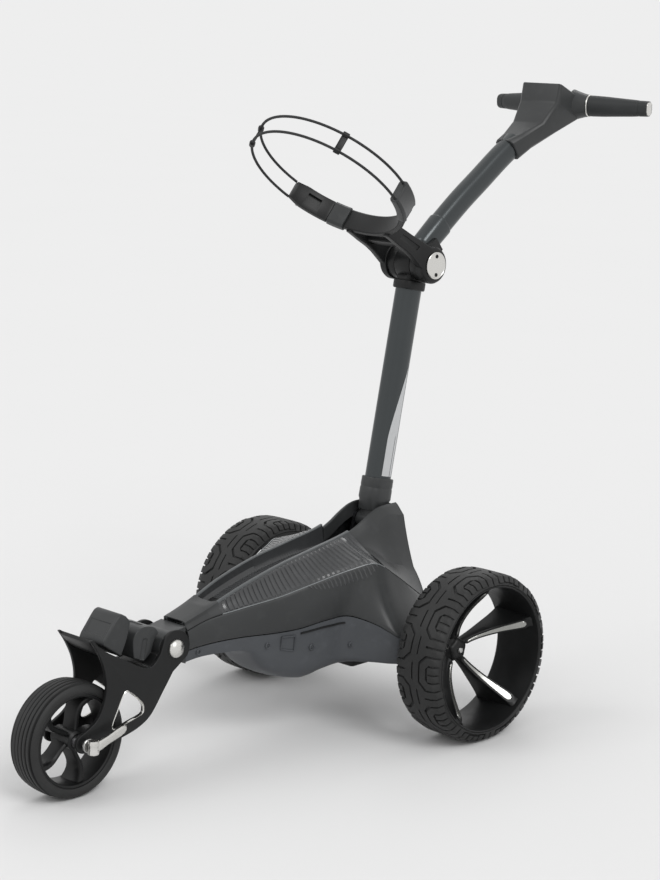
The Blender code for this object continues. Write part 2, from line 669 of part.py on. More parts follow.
def mast_loft(stretches, squareness=3.0):
    """A lofted body round the mast's line, from (distance, width, depth) stations."""
    across = Vector((1.0, 0.0, 0.0))
    along = Vector((0.0, math.sin(MAST_LEAN), math.cos(MAST_LEAN)))
    side = across.cross(along)
    return loft([oval(mast_point(d), across, side, w, t, 18, squareness) for d, w, t in stretches])


def build_mast(mast):
    pivot_yz = (MAST_PIVOT.y, MAST_PIVOT.z)
    hinge_yz = (HINGE.y, HINGE.z)
    foot = add("mast_foot", mast_loft([(0.036, 0.0445, 0.0520), (0.039, 0.0460, 0.0540),
                                       (0.074, 0.0450, 0.0530), (0.0755, 0.0435, 0.0515)]),
               "charcoal_plastic", mast)
    join(foot, rod((-0.0232, *pivot_yz), (0.0232, *pivot_yz), 0.0150, 24))
    join(foot, mast_loft([(0.002, 0.0460, 0.0280), (0.040, 0.0440, 0.0300)]))
    cut(foot, mast_loft([(0.0446, MAST_WIDTH + 0.0008, MAST_DEPTH + 0.0008),
                         (0.080, MAST_WIDTH + 0.0008, MAST_DEPTH + 0.0008)], 2.5))
    cut(foot, rod((-0.05, *pivot_yz), (0.05, *pivot_yz), 0.0056, 12))
    along = Vector((0.0, math.sin(MAST_LEAN), math.cos(MAST_LEAN)))
    ends = [mast_point(MAST_TUBE_START), mast_point(MAST_TUBE_END)]
    tube = hollow_tube(ends, [along, along], MAST_WIDTH, MAST_DEPTH, 0.002)
    add("mast_tube", tube, "graphite_metal", mast)
    head = add("mast_head", mast_loft([(0.4050, 0.0435, 0.0520), (0.4065, 0.0450, 0.0535),
                                       (0.4190, 0.0450, 0.0535), (0.4205, 0.0430, 0.0515)]),
               "black_plastic", mast)
    cut(head, mast_loft([(0.4000, MAST_WIDTH + 0.0008, MAST_DEPTH + 0.0008),
                         (MAST_TUBE_END + 0.0005, MAST_WIDTH + 0.0008, MAST_DEPTH + 0.0008)], 2.5))
    join(head, mast_loft([(0.4180, 0.0335, 0.0440), (0.4300, 0.0335, 0.0400)], 4.0))
    join(head, rod((-0.0172, *hinge_yz), (0.0172, *hinge_yz), KNUCKLE_RADIUS, 22))
    cut(head, rod((-0.05, *hinge_yz), (0.05, *hinge_yz), 0.0066, 12))
    add("hinge_bolt", rod((-0.0525, *hinge_yz), (0.0525, *hinge_yz), 0.0060), "steel", mast)
    for side_name, side in SIDES:
        disc = [(0.0, 0.0529), (0.0232, 0.0529), (0.0232, 0.0548), (0.0222, 0.0556), (0.0, 0.0556)]
        disc = [(radius, side * along_x) for radius, along_x in disc]
        add(f"{side_name}_hinge_disc", turned(disc, HINGE, 24), "satin_metal", mast)


ARM_LINE = [(0.1560, 0.8120), (0.1763, 0.8278), (0.2275, 0.8660), (0.2795, 0.9010),
            (0.3284, 0.9344), (0.3700, 0.9600)]


def arm_frame(index):
    """A point of the arm's line and the line's direction there."""
    before = ARM_LINE[max(index - 1, 0)]
    after = ARM_LINE[min(index + 1, len(ARM_LINE) - 1)]
    direction = Vector((0.0, after[0] - before[0], after[1] - before[1])).normalized()
    return Vector((0.0, *ARM_LINE[index])), direction


def arm_loft(stretches, squareness=3.0):
    """A lofted body along the arm's first straight, from (distance, width, depth) stations."""
    start, direction = arm_frame(0)
    across = Vector((1.0, 0.0, 0.0))
    side = across.cross(direction)
    return loft([oval(start + direction * d, across, side, w, t, 18, squareness)
                 for d, w, t in stretches])


def build_arm(arm):
    hinge_yz = (HINGE.y, HINGE.z)
    collar = add("arm_collar", arm_loft([(-0.0120, 0.0560, 0.0430), (0.0000, 0.0560, 0.0470),
                                         (0.0250, 0.0450, 0.0500), (0.0265, 0.0435, 0.0485)]),
                 "black_plastic", arm)
    rise = Vector((0.0, math.cos(ARM_RISE), math.sin(ARM_RISE)))
    for side in (1.0, -1.0):
        low = side * 0.0180
        high = side * 0.0345
        join(collar, rod((low, *hinge_yz), (high, *hinge_yz), 0.0290, 22))
        web = [HINGE + rise * 0.010, HINGE + rise * 0.062]
        rings = []
        for centre, depth in zip(web, (0.046, 0.042)):
            lift = Vector((0.0, -rise.z, rise.y)) * depth / 2.0
            near = Vector((side * 0.0186, 0.0, 0.0))
            far = Vector((side * 0.0270, 0.0, 0.0))
            rings.append([centre - lift + near, centre - lift + far, centre + lift + far, centre + lift + near])
        join(collar, loft(rings))
    cut(collar, arm_loft([(0.0002, ARM_WIDTH + 0.0008, ARM_DEPTH + 0.0008),
                          (0.0400, ARM_WIDTH + 0.0008, ARM_DEPTH + 0.0008)], 2.5))
    cut(collar, rod((-0.05, *hinge_yz), (0.05, *hinge_yz), 0.0066, 12))
    frames = [arm_frame(index) for index in range(len(ARM_LINE))]
    start, direction = frames[0]
    frames[0] = (start + direction * 0.0008, direction)
    tube = hollow_tube([f[0] for f in frames], [f[1] for f in frames], ARM_WIDTH, ARM_DEPTH, 0.002)
    add("arm_tube", tube, "graphite_metal", arm)
    build_head(arm)


# The head's sections: front (y, z), back (y, z), front half width, back half width, corner cut
HEAD_SECTIONS = [
    ((0.3395, 0.9665), (0.3630, 0.9310), 0.0214, 0.0214, 0.0070),
    ((0.3640, 0.9765), (0.3955, 0.9500), 0.0260, 0.0250, 0.0070),
    ((0.4050, 0.9960), (0.4500, 0.9765), 0.0380, 0.0350, 0.0060),
    ((0.4340, 1.0320), (0.4970, 0.9985), 0.0454, 0.0450, 0.0050),
    ((0.4418, 1.0654), (0.5450, 1.0180), 0.0454, 0.0420, 0.0040),
]


def build_head(arm):
    """The handle's head: a wedge that opens out from the arm to the two grips."""
    rings = []
    for front, back, front_half, back_half, corner in HEAD_SECTIONS:
        near = Vector((0.0, *front))
        far = Vector((0.0, *back))
        step = (far - near).normalized() * corner
        half_ring = [(front_half - corner, near), (front_half, near + step),
                     (back_half, far - step), (back_half - corner, far)]
        ring = [Vector((x, point.y, point.z)) for x, point in half_ring]
        rings.append(ring + [Vector((-point.x, point.y, point.z)) for point in ring[::-1]])
    head = add("handle_head", loft(rings), "charcoal_plastic", arm)
    span = (GRIP_OUTER - GRIP_INNER).normalized()
    for side in (1.0, -1.0):
        inner = Vector((side * GRIP_INNER.x, GRIP_INNER.y, GRIP_INNER.z))
        direction = Vector((side * span.x, span.y, span.z))
        root = inner - direction * 0.030
        profile = [(0.0, 0.0), (0.0280, 0.0), (0.0240, 0.012), (0.0200, 0.0265), (0.0200, 0.0295), (0.0, 0.0295)]
        join(head, turned(profile, root, 18, direction))
    across = Vector((1.0, 0.0, 0.0))
    socket = []
    for index, further in ((-2, 0.0), (-1, 0.0008)):
        centre, direction = arm_frame(len(ARM_LINE) + index)
        socket.append(oval(centre + direction * further, across, across.cross(direction),
                           ARM_WIDTH + 0.0010, ARM_DEPTH + 0.0010))
    cut(head, loft(socket))
    build_controls(head, arm)
    for side_name, side in SIDES:
        build_grip(side_name, side, span, arm)


def top_face():
    """The point, the slope direction and the normal of the head's upper face."""
    front = Vector((0.0, *HEAD_SECTIONS[-1][0]))
    back = Vector((0.0, *HEAD_SECTIONS[-1][1]))
    down = (back - front).normalized()
    normal = Vector((1.0, 0.0, 0.0)).cross(down).normalized()
    return front, down, normal if normal.z > 0 else -normal


def build_controls(head, arm):
    """The screen, the speed dial with its push button, and two menu keys."""
    front, down, normal = top_face()
    tilt = math.atan2(down.z, down.y)
    screen_place = front + down * 0.0280
    cut(head, block(screen_place, (0.0640, 0.0360, 0.0050), tilt))
    screen = add("display_screen", block(screen_place - normal * 0.0008, (0.0630, 0.0350, 0.0024), tilt),
                 "screen_glass", arm)
    bevel(screen, 0.0006, 1)
    dial_place = front + down * 0.0800
    cut(head, rod(dial_place - normal * 0.0060, dial_place + normal * 0.0100, 0.0168, 24))
    dial_axis = axis_empty("speed_dial_axis", dial_place, arm)
    profile = [(0.0070, -0.0055), (0.0155, -0.0055), (0.0160, 0.0020), (0.0150, 0.0040), (0.0070, 0.0040)]
    add("speed_dial", turned(profile, dial_place, 24, normal), "satin_metal", dial_axis)
    push_axis = axis_empty("power_button_axis", dial_place, arm)
    profile = [(0.0, -0.0030), (0.0065, -0.0030), (0.0065, 0.0038), (0.0058, 0.0045), (0.0, 0.0045)]
    add("power_button", turned(profile, dial_place, 16, normal), "soft_rubber", push_axis)
    for side_name, side in SIDES:
        place = dial_place + Vector((side * 0.0275, 0.0, 0.0)) - down * 0.004
        cut(head, block(place, (0.0140, 0.0240, 0.0090), tilt))
        key_axis = axis_empty(f"{side_name}_menu_key_axis", place, arm)
        key = add(f"{side_name}_menu_key", block(place - normal * 0.0002, (0.0130, 0.0230, 0.0040), tilt),
                  "soft_rubber", key_axis)
        bevel(key, 0.0010, 1)


def build_grip(side_name, side, span, arm):
    direction = Vector((side * span.x, span.y, span.z))
    inner = Vector((side * GRIP_INNER.x, GRIP_INNER.y, GRIP_INNER.z))
    length = (GRIP_OUTER - GRIP_INNER).length
    grip = [(0.0, GAP), (GRIP_INNER_RADIUS, GAP), (GRIP_INNER_RADIUS + 0.0004, 0.010),
            (0.0168, length * 0.5), (GRIP_OUTER_RADIUS, length - 0.004),
            (GRIP_OUTER_RADIUS - 0.0020, length - 0.0005), (0.0, length)]
    add(f"{side_name}_grip", turned(grip, inner, 20, direction), "soft_rubber", arm)


def ring_place(angle, radius, rise):
    """A point of the tilted bag ring: angle from +X towards the rear, rise along its normal."""
    rearward = Vector((0.0, math.cos(RING_TILT), -math.sin(RING_TILT)))
    normal = Vector((0.0, math.sin(RING_TILT), math.cos(RING_TILT)))
    return RING_CENTRE + Vector((radius * math.cos(angle), 0.0, 0.0)) + rearward * radius * math.sin(angle) \
        + normal * rise


def band(start, end, inner, outer, low, high, steps):
    """A curved bar that follows the bag ring between two angles in degrees."""
    rings = []
    for index in range(steps + 1):
        angle = math.radians(start + (end - start) * index / steps)
        rings.append([ring_place(angle, inner, low), ring_place(angle, outer, low),
                      ring_place(angle, outer, high), ring_place(angle, inner, high)])
    return loft(rings)


def cord(start, end, rise, radius, steps, sides=8):
    """A round cord that follows the bag ring between two angles in degrees."""
    rings = []
    for index in range(steps + 1):
        angle = math.radians(start + (end - start) * index / steps)
        centre = ring_place(angle, RING_RADIUS, rise)
        outwards = (ring_place(angle, RING_RADIUS + 1.0, rise) - centre).normalized()
        normal = Vector((0.0, math.sin(RING_TILT), math.cos(RING_TILT)))
        rings.append([centre + outwards * radius * math.cos(math.tau * k / sides)
                      + normal * radius * math.sin(math.tau * k / sides) for k in range(sides)])
    return loft(rings)


def build_bag_support(support):
    """The yoke on the hinge, its curved saddle, the strap's two cords and their fittings."""
    hinge_yz = (HINGE.y, HINGE.z)
    saddle = band(SADDLE_START, SADDLE_END, 0.1340, 0.1440, -RING_SPACING - 0.003, 0.003, 11)
    yoke = add("bag_yoke", saddle, "black_plastic", support)
    for side in (1.0, -1.0):
        low = side * 0.0352
        high = side * 0.0520
        join(yoke, rod((low, *hinge_yz), (high, *hinge_yz), 0.0320, 24))
        leg = [(0.0810, 0.7600), (0.1340, 0.7860), (0.0900, 0.8230), (0.0560, 0.8340),
               (0.0120, 0.8440), (-0.0080, 0.8250), (0.0220, 0.8060), (0.0540, 0.7850)]
        low, high = sorted((side * 0.0370, side * 0.0500))
        join(yoke, prism(leg, low, high))
    join(yoke, block((0.0, 0.0420, 0.8080), (0.0900, 0.0220, 0.0100), math.radians(-25.0)))
    cut(yoke, rod((-0.06, *hinge_yz), (0.06, *hinge_yz), 0.0066, 12))
    ends = (("left", COVER_START, SADDLE_START - SEAM_ANGLE), ("right", SADDLE_END + SEAM_ANGLE, COVER_END))
    for side_name, start, end in ends:
        cover = band(start, end, 0.1300, 0.1480, -RING_SPACING - 0.005, 0.005, 5)
        bevel(add(f"{side_name}_arm_cover", cover, "charcoal_plastic", support), 0.0020, 1)
    buckle = band(COVER_END + SEAM_ANGLE, BUCKLE_END, 0.1330, 0.1450, -RING_SPACING - 0.004, 0.004, 8)
    bevel(add("strap_buckle", buckle, "black_plastic", support), 0.0012, 1)
    last = BUCKLE_END + SEAM_ANGLE - 360.0
    for name, rise in (("upper_strap_cord", 0.0), ("lower_strap_cord", -RING_SPACING)):
        add(name, cord(COVER_START - SEAM_ANGLE, last, rise, CORD_RADIUS, 40, 6), "soft_rubber", support)


def main():
    clear_scene()
    root = axis_empty("trolley_frame", (0.0, 0.0, 0.0))
    root.location = (0.0, REAR_AXLE_Y, 0.0)
    build_body(root)
    build_mast_bracket(root)
    build_drive(root)
    build_rear_wheels(root)
    fold = axis_empty("front_fold_axis", FRONT_PIVOT, root)
    build_fork(fold)
    build_front_wheel(fold)
    build_quick_release(fold)
    mast = axis_empty("mast_fold_axis", MAST_PIVOT, root)
    build_mast(mast)
    arm = axis_empty("arm_fold_axis", HINGE, mast)
    build_arm(arm)
    support = axis_empty("bag_support_axis", HINGE, mast)
    build_bag_support(support)


main()
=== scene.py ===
"""Looks of a three-wheeled electric golf trolley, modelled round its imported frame.

Lengths are metres. Places are given in the trolley's own frame, whose origin is on the ground
under the rear axle: +X is the left side, the front wheel points along -Y, and +Z is up.
Each finished piece is moved into the row's frame once, by the rear axle's place there.
"""

import json
import math

import bmesh
import bpy
from mathutils import Matrix, Vector


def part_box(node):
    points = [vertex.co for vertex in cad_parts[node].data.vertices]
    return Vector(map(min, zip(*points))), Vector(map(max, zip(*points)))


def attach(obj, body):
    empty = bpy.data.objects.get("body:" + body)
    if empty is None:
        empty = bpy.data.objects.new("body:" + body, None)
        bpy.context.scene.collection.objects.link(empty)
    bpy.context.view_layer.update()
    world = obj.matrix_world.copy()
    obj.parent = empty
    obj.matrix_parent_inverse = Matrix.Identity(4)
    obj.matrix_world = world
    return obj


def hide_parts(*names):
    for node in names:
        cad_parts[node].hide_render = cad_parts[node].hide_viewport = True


bl_info = {
    "name": "Golf trolley looks",
    "version": (1, 0, 0),
    "blender": (4, 5, 0),
    "location": "View3D > Sidebar > Trolley",
    "description": "Models the visible pieces of an electric golf trolley round its frame",
    "category": "Object",
}

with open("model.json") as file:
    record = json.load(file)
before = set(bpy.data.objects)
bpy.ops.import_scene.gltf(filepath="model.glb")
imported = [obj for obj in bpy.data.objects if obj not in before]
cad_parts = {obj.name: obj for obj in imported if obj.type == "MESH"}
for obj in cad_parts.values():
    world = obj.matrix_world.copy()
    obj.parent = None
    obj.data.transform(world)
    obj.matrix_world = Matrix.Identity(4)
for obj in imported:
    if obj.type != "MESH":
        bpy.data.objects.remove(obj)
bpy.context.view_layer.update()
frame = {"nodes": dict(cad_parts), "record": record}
NODES = frame["nodes"]
BODY_OF = {node: body for body, nodes in frame["record"]["behaviour"]["bodies"].items() for node in nodes}
SLOT_OF = {part["node"]: part["material_slot"] for part in frame["record"]["subparts"]}


def middle(node):
    low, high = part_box(node)
    return (low + high) / 2.0


X = Vector((1.0, 0.0, 0.0))
UP = Vector((0.0, 0.0, 1.0))
AXLE_Y = middle("left_tyre").y
INTO_ROW = Matrix.Translation((0.0, AXLE_Y, 0.0))
REAR_HUB = Vector((0.0, 0.0, middle("left_tyre").z))
FRONT_HUB = Vector((0.0, middle("front_tyre").y - AXLE_Y, middle("front_tyre").z))
REAR_RADIUS = REAR_HUB.z
FRONT_RADIUS = FRONT_HUB.z
TYRE_IN, TYRE_OUT = (corner.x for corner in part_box("left_tyre"))
FRONT_PIVOT = middle("pivot_bolt") - Vector((0.0, AXLE_Y, 0.0))
HINGE = middle("hinge_bolt") - Vector((0.0, AXLE_Y, 0.0))
MAST_PIVOT = middle("mast_pivot_pin") - Vector((0.0, AXLE_Y, 0.0))
MAST_LEAN = math.atan2(HINGE.y - MAST_PIVOT.y, HINGE.z - MAST_PIVOT.z)
MAST_LINE = Vector((0.0, math.sin(MAST_LEAN), math.cos(MAST_LEAN)))
SIDES = (("left", 1.0), ("right", -1.0))
SPOKES = 5


# Modelling by hand

def only(*pieces):
    """Select these pieces and nothing else. The last one becomes active."""
    if bpy.context.mode != "OBJECT":
        bpy.ops.object.mode_set(mode="OBJECT")
    bpy.ops.object.select_all(action="DESELECT")
    for piece in pieces:
        piece.select_set(True)
    bpy.context.view_layer.objects.active = pieces[-1]


class Editing:
    """Edit mode on one piece, with picks made in code."""

    def __init__(self, piece):
        self.piece = piece

    def __enter__(self):
        only(self.piece)
        bpy.ops.object.mode_set(mode="EDIT")
        return self

    def __exit__(self, *error):
        bpy.ops.object.mode_set(mode="OBJECT")

    @property
    def mesh(self):
        return bmesh.from_edit_mesh(self.piece.data)

    def pick(self, kind, test):
        """Select the verts, edges or faces for which the test holds, and nothing else."""
        bpy.ops.mesh.select_mode(type={"verts": "VERT", "edges": "EDGE", "faces": "FACE"}[kind])
        bpy.ops.mesh.select_all(action="DESELECT")
        mesh = self.mesh
        for item in getattr(mesh, kind):
            if test(item):
                item.select_set(True)
        mesh.select_flush_mode()
        bmesh.update_edit_mesh(self.piece.data)

    def close(self, merge=2e-6):
        """Merge what coincides and turn the faces outwards."""
        bpy.ops.mesh.select_all(action="SELECT")
        bpy.ops.mesh.remove_doubles(threshold=merge)
        bpy.ops.mesh.select_all(action="SELECT")
        bpy.ops.mesh.normals_make_consistent(inside=False)


def ring(name, points):
    """A wire ring: a circle primitive with its corners moved to their places."""
    bpy.ops.object.select_all(action="DESELECT")
    bpy.ops.mesh.primitive_circle_add(vertices=len(points), radius=0.01, fill_type="NOTHING")
    made = bpy.context.active_object
    made.name = name
    for corner, point in zip(made.data.vertices, points):
        corner.co = point
    return made


def loft(name, rings, closed=False, caps=True):
    """Extrude a ring from section to section, each new corner moved to its own place."""
    made = ring(name, rings[0])
    made.data.attributes.new("corner", "INT", "POINT").data.foreach_set("value", range(len(rings[0])))
    with Editing(made) as work:
        bpy.ops.mesh.select_all(action="SELECT")
        for section in rings[1:] + ([rings[0]] if closed else []):
            bpy.ops.mesh.extrude_edges_move()
            mesh = work.mesh
            number = mesh.verts.layers.int["corner"]
            for vertex in mesh.verts:
                if vertex.select:
                    vertex.co = section[vertex[number]]
            bmesh.update_edit_mesh(made.data)
        if caps and not closed:
            for section in (rings[0], rings[-1]):
                first = [Vector(point) for point in section]
                work.pick("verts", lambda v, near=first: min((v.co - p).length for p in near) < 1e-6)
                bpy.ops.mesh.edge_face_add()
        work.close()
    made.data.attributes.remove(made.data.attributes["corner"])
    return made


def turned(name, profile, centre, axis=X, steps=96):
    """Spin a profile of (radius, distance along the axis) points round an axis."""
    axis = Vector(axis).normalized()
    aside = axis.orthogonal().normalized()
    centre = Vector(centre)
    made = ring(name, [centre + aside * radius + axis * along for radius, along in profile])
    with Editing(made) as work:
        if profile[0][0] == 0.0 and profile[-1][0] == 0.0:
            ends = {0, len(profile) - 1}
            work.pick("edges", lambda e: {v.index for v in e.verts} == ends)
            bpy.ops.mesh.delete(type="EDGE")
        bpy.ops.mesh.select_all(action="SELECT")
        bpy.ops.mesh.spin(steps=steps, angle=math.tau, center=centre, axis=axis)
        work.close()
    return made


def plate(name, outline, along):
    """Fill an outline of points and extrude it."""
    made = ring(name, outline)
    with Editing(made) as work:
        bpy.ops.mesh.select_all(action="SELECT")
        bpy.ops.mesh.edge_face_add()
        bpy.ops.mesh.extrude_region_move(TRANSFORM_OT_translate={"value": tuple(along)})
        work.close()
    return made


def cube(name, centre, size, tilt=0.0):
    """A cube primitive at its size and place, tipped about X."""
    bpy.ops.object.select_all(action="DESELECT")
    bpy.ops.mesh.primitive_cube_add(size=1.0, location=centre, rotation=(tilt, 0.0, 0.0), scale=size)
    made = bpy.context.active_object
    made.name = name
    bpy.ops.object.transform_apply(location=True, rotation=True, scale=True)
    return made


def cylinder(name, start, end, radius, sides=32):
    """A cylinder primitive from one point to another."""
    start = Vector(start)
    end = Vector(end)
    turn = UP.rotation_difference(end - start).to_euler()
    bpy.ops.object.select_all(action="DESELECT")
    bpy.ops.mesh.primitive_cylinder_add(vertices=sides, radius=radius, depth=(end - start).length,
                                        location=(start + end) / 2.0, rotation=turn)
    made = bpy.context.active_object
    made.name = name
    bpy.ops.object.transform_apply(location=True, rotation=True, scale=True)
    return made


def apply(piece, kind, **settings):
    """Add a modifier and apply it."""
    only(piece)
    modifier = piece.modifiers.new(kind.lower(), kind)
    for key, value in settings.items():
        setattr(modifier, key, value)
    bpy.ops.object.modifier_apply(modifier=modifier.name)
    return piece


def rounded(piece, width, segments=2, angle=35.0):
    return apply(piece, "BEVEL", width=width, segments=segments, limit_method="ANGLE",
                 angle_limit=math.radians(angle), use_clamp_overlap=True)


def combined(piece, other, operation):
    apply(piece, "BOOLEAN", object=other, operation=operation, solver="EXACT")
    bpy.data.objects.remove(other, do_unlink=True)
    return piece


def cut(piece, cutter):
    return combined(piece, cutter, "DIFFERENCE")


def fused(piece, other):
    return combined(piece, other, "UNION")


def copied(piece, matrix, name=None):
    """A copy with its own mesh, moved by a matrix in the mesh."""
    only(piece)
    bpy.ops.object.duplicate(linked=False)
    made = bpy.context.active_object
    made.data.transform(matrix)
    if matrix.determinant() < 0:
        made.data.flip_normals()
    if name:
        made.name = name
    return made


def joined(name, pieces):
    only(*pieces)
    if len(pieces) > 1:
        bpy.ops.object.join()
    made = bpy.context.active_object
    made.name = name
    made.data.name = name
    return made


def about(centre, axis, angle):
    """The matrix that turns about an axis through a point."""
    return Matrix.Translation(centre) @ Matrix.Rotation(angle, 4, Vector(axis)) @ Matrix.Translation(-Vector(centre))


MIRROR = Matrix.Diagonal((-1.0, 1.0, 1.0, 1.0))


def finished(piece, body, finish, replaces=(), smooth=35.0):
    """Smooth, paint and place a piece, and hang it on its body."""
    only(piece)
    piece.data.transform(INTO_ROW)
    piece.data.materials.clear()
    piece.data.materials.append(finish)
    if smooth:
        bpy.ops.object.shade_smooth_by_angle(angle=math.radians(smooth))
    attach(piece, body)
    if replaces:
        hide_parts(*replaces)
    return piece


def in_place_of(piece, node, finish=None, also=(), smooth=35.0):
    """Finish a piece that stands for a node of the frame, on the node's own body and slot."""
    slot = SLOT_OF[node]
    return finished(piece, BODY_OF[node], finish or FINISH[slot], (node, *also), smooth)


def oval(centre, across, along, width, depth, steps=48, squareness=2.5):
    """A rounded oval of points: width on the first direction, depth on the second."""
    points = []
    for index in range(steps):
        angle = math.tau * index / steps
        c = math.cos(angle)
        s = math.sin(angle)
        u = math.copysign(abs(c) ** (2.0 / squareness), c) * width / 2.0
        v = math.copysign(abs(s) ** (2.0 / squareness), s) * depth / 2.0
        points.append(Vector(centre) + across * u + along * v)
    return points


def eased(line, at):
    """The values of a guide line at a station, on a cubic through its points."""
    index = 0
    while index < len(line) - 2 and at > line[index + 1][0]:
        index += 1
    start = line[index]
    end = line[index + 1]
    before = line[max(index - 1, 0)]
    beyond = line[min(index + 2, len(line) - 1)]
    t = min(max((at - start[0]) / (end[0] - start[0]), 0.0), 1.0)
    found = []
    for k in range(1, len(start)):
        span = end[0] - start[0]
        rise = end[k] - start[k]
        first = (end[k] - before[k]) / (end[0] - before[0]) * span
        last = (beyond[k] - start[k]) / (beyond[0] - start[0]) * span
        found.append(start[k] + first * t + (3 * rise - 2 * first - last) * t * t
                     + (first + last - 2 * rise) * t ** 3)
    return found


def spread(low, high, count):
    return [low + (high - low) * index / count for index in range(count + 1)]


def arc(centre, radius, start, end, steps):
    """Points of (y, z) on an arc, with angles in degrees from +Y towards +Z."""
    return [(centre[0] + radius * math.cos(math.radians(angle)),
             centre[1] + radius * math.sin(math.radians(angle)))
            for angle in spread(start, end, steps)]


def on_side(x, outline):
    """Points of (y, z) put at one distance from the middle plane."""
    return [Vector((x, y, z)) for y, z in outline]


# Finishes

class Value:
    """A shader socket that takes part in sums with numbers and other sockets."""

    def __init__(self, graph, socket):
        self.graph = graph
        self.socket = socket

    def maths(self, operation, first, second):
        return self.graph.node("ShaderNodeMath", {"operation": operation}, {0: first, 1: second})

    def __add__(self, other):
        return self.maths("ADD", self, other)

    def __radd__(self, other):
        return self.maths("ADD", other, self)

    def __sub__(self, other):
        return self.maths("SUBTRACT", self, other)

    def __rsub__(self, other):
        return self.maths("SUBTRACT", other, self)

    def __mul__(self, other):
        return self.maths("MULTIPLY", self, other)

    def __rmul__(self, other):
        return self.maths("MULTIPLY", other, self)

    def __pow__(self, other):
        return self.maths("POWER", self, other)


class Graph:
    """A material's nodes."""

    def __init__(self, name):
        self.material = bpy.data.materials.new(name)
        self.material.use_nodes = True
        self.tree = self.material.node_tree
        self.shader = self.tree.nodes["Principled BSDF"]
        self.place = self.node("ShaderNodeTexCoord", output="Object")

    def feed(self, socket, value):
        if isinstance(value, Value):
            self.tree.links.new(value.socket, socket)
        else:
            socket.default_value = value

    def node(self, kind, settings=None, inputs=None, output=0):
        made = self.tree.nodes.new(kind)
        for key, value in (settings or {}).items():
            if key == "stops":
                made.color_ramp.elements[0].position = value[0][0]
                made.color_ramp.elements[0].color = value[0][1]
                made.color_ramp.elements[1].position = value[1][0]
                made.color_ramp.elements[1].color = value[1][1]
            else:
                setattr(made, key, value)
        for key, value in (inputs or {}).items():
            self.feed(made.inputs[key], value)
        return Value(self, made.outputs[output])

    def noise(self, scale, detail=3.0, stretch=(1.0, 1.0, 1.0)):
        place = self.place
        if stretch != (1.0, 1.0, 1.0):
            place = self.node("ShaderNodeMapping", {}, {"Vector": place, "Scale": stretch})
        return self.node("ShaderNodeTexNoise", {}, {"Vector": place, "Scale": scale, "Detail": detail})

    def tint(self, factor, first, second):
        """Mix two colours by a factor."""
        return self.node("ShaderNodeMix", {"data_type": "RGBA"},
                         {0: factor, 6: (*first, 1.0), 7: (*second, 1.0)}, output=2)

    def paint(self, **sockets):
        """Set or link the shader's sockets, named with underscores for spaces."""
        for key, value in sockets.items():
            self.feed(self.shader.inputs[key.replace("_", " ")], value)

    def bump(self, height, distance, strength=1.0):
        """A relief from a height, of a depth in metres."""
        self.feed(self.shader.inputs["Normal"],
                  self.node("ShaderNodeBump", {}, {"Height": height, "Distance": distance, "Strength": strength}))


def clamped(value, low=0.0, high=1.0):
    return value.graph.node("ShaderNodeClamp", {}, {"Value": value, "Min": low, "Max": high})


def moulded(name, colour, roughness, grain=1400.0, depth=0.00006, dust=0.25, coat=0.0):
    """Moulded plastic: a fine pebbled grain, cloudy gloss and a little pale dust."""
    graph = Graph(name)
    fine = graph.noise(grain, 2.0)
    cloud = graph.noise(9.0, 4.0)
    wear = clamped((graph.noise(55.0, 6.0) - 0.56) * 5.0)
    light = tuple(min(1.0, channel * 1.45 + 0.006) for channel in colour)
    dark = tuple(channel * 0.82 for channel in colour)
    graph.paint(
        Base_Color=graph.tint(clamped(cloud * 0.7 + wear * dust), dark, light),
        Roughness=clamped(roughness - 0.06 + cloud * 0.12 + wear * 0.07),
        Coat_Weight=coat,
        Coat_Roughness=0.25,
        Specular_IOR_Level=0.28,
    )
    graph.bump(fine, depth)
    return graph.material


def rubber(name, colour, roughness, dust=0.5):
    """Tyre rubber: matt, with mould flow marks and dry dust."""
    graph = Graph(name)
    grain = graph.noise(900.0, 4.0)
    flow = graph.noise(38.0, 5.0)
    dusty = clamped((graph.noise(17.0, 6.0) - 0.5) * 3.0)
    pale = tuple(channel * 1.9 + 0.004 for channel in colour)
    graph.paint(
        Base_Color=graph.tint(clamped(flow * 0.35 + dusty * dust), colour, pale),
        Roughness=clamped(roughness + (flow - 0.5) * 0.16 + dusty * 0.06),
        Specular_IOR_Level=0.28,
    )
    graph.bump(grain * 0.6 + flow * 0.4, 0.00012)
    return graph.material


def lacquered(name, colour, roughness, metallic, flake=2600.0):
    """Metallic lacquer on a tube: flakes that catch the light, under a soft clear coat."""
    graph = Graph(name)
    sparkle = graph.noise(flake, 1.0)
    cloud = graph.noise(7.0, 3.0)
    light = tuple(channel * 1.35 for channel in colour)
    graph.paint(
        Base_Color=graph.tint(clamped(sparkle * 0.6 + cloud * 0.4), colour, light),
        Roughness=clamped(roughness + (sparkle - 0.5) * 0.10 + (cloud - 0.5) * 0.10),
        Metallic=metallic,
        Coat_Weight=0.25,
        Coat_Roughness=0.2,
    )
    graph.bump(sparkle, 0.00001)
    return graph.material


def brushed(name, colour, roughness, stretch=(1.0, 1.0, 24.0), scale=90.0):
    """Satin or machined metal with fine drawn lines."""
    graph = Graph(name)
    lines = graph.noise(scale, 6.0, stretch)
    cloud = graph.noise(25.0, 3.0)
    dark = tuple(channel * 0.78 for channel in colour)
    graph.paint(
        Base_Color=graph.tint(clamped(lines * 0.7 + cloud * 0.3), dark, colour),
        Roughness=clamped(roughness - 0.08 + lines * 0.20 + (cloud - 0.5) * 0.1),
        Metallic=1.0,
    )
    graph.bump(lines, 0.00002)
    return graph.material


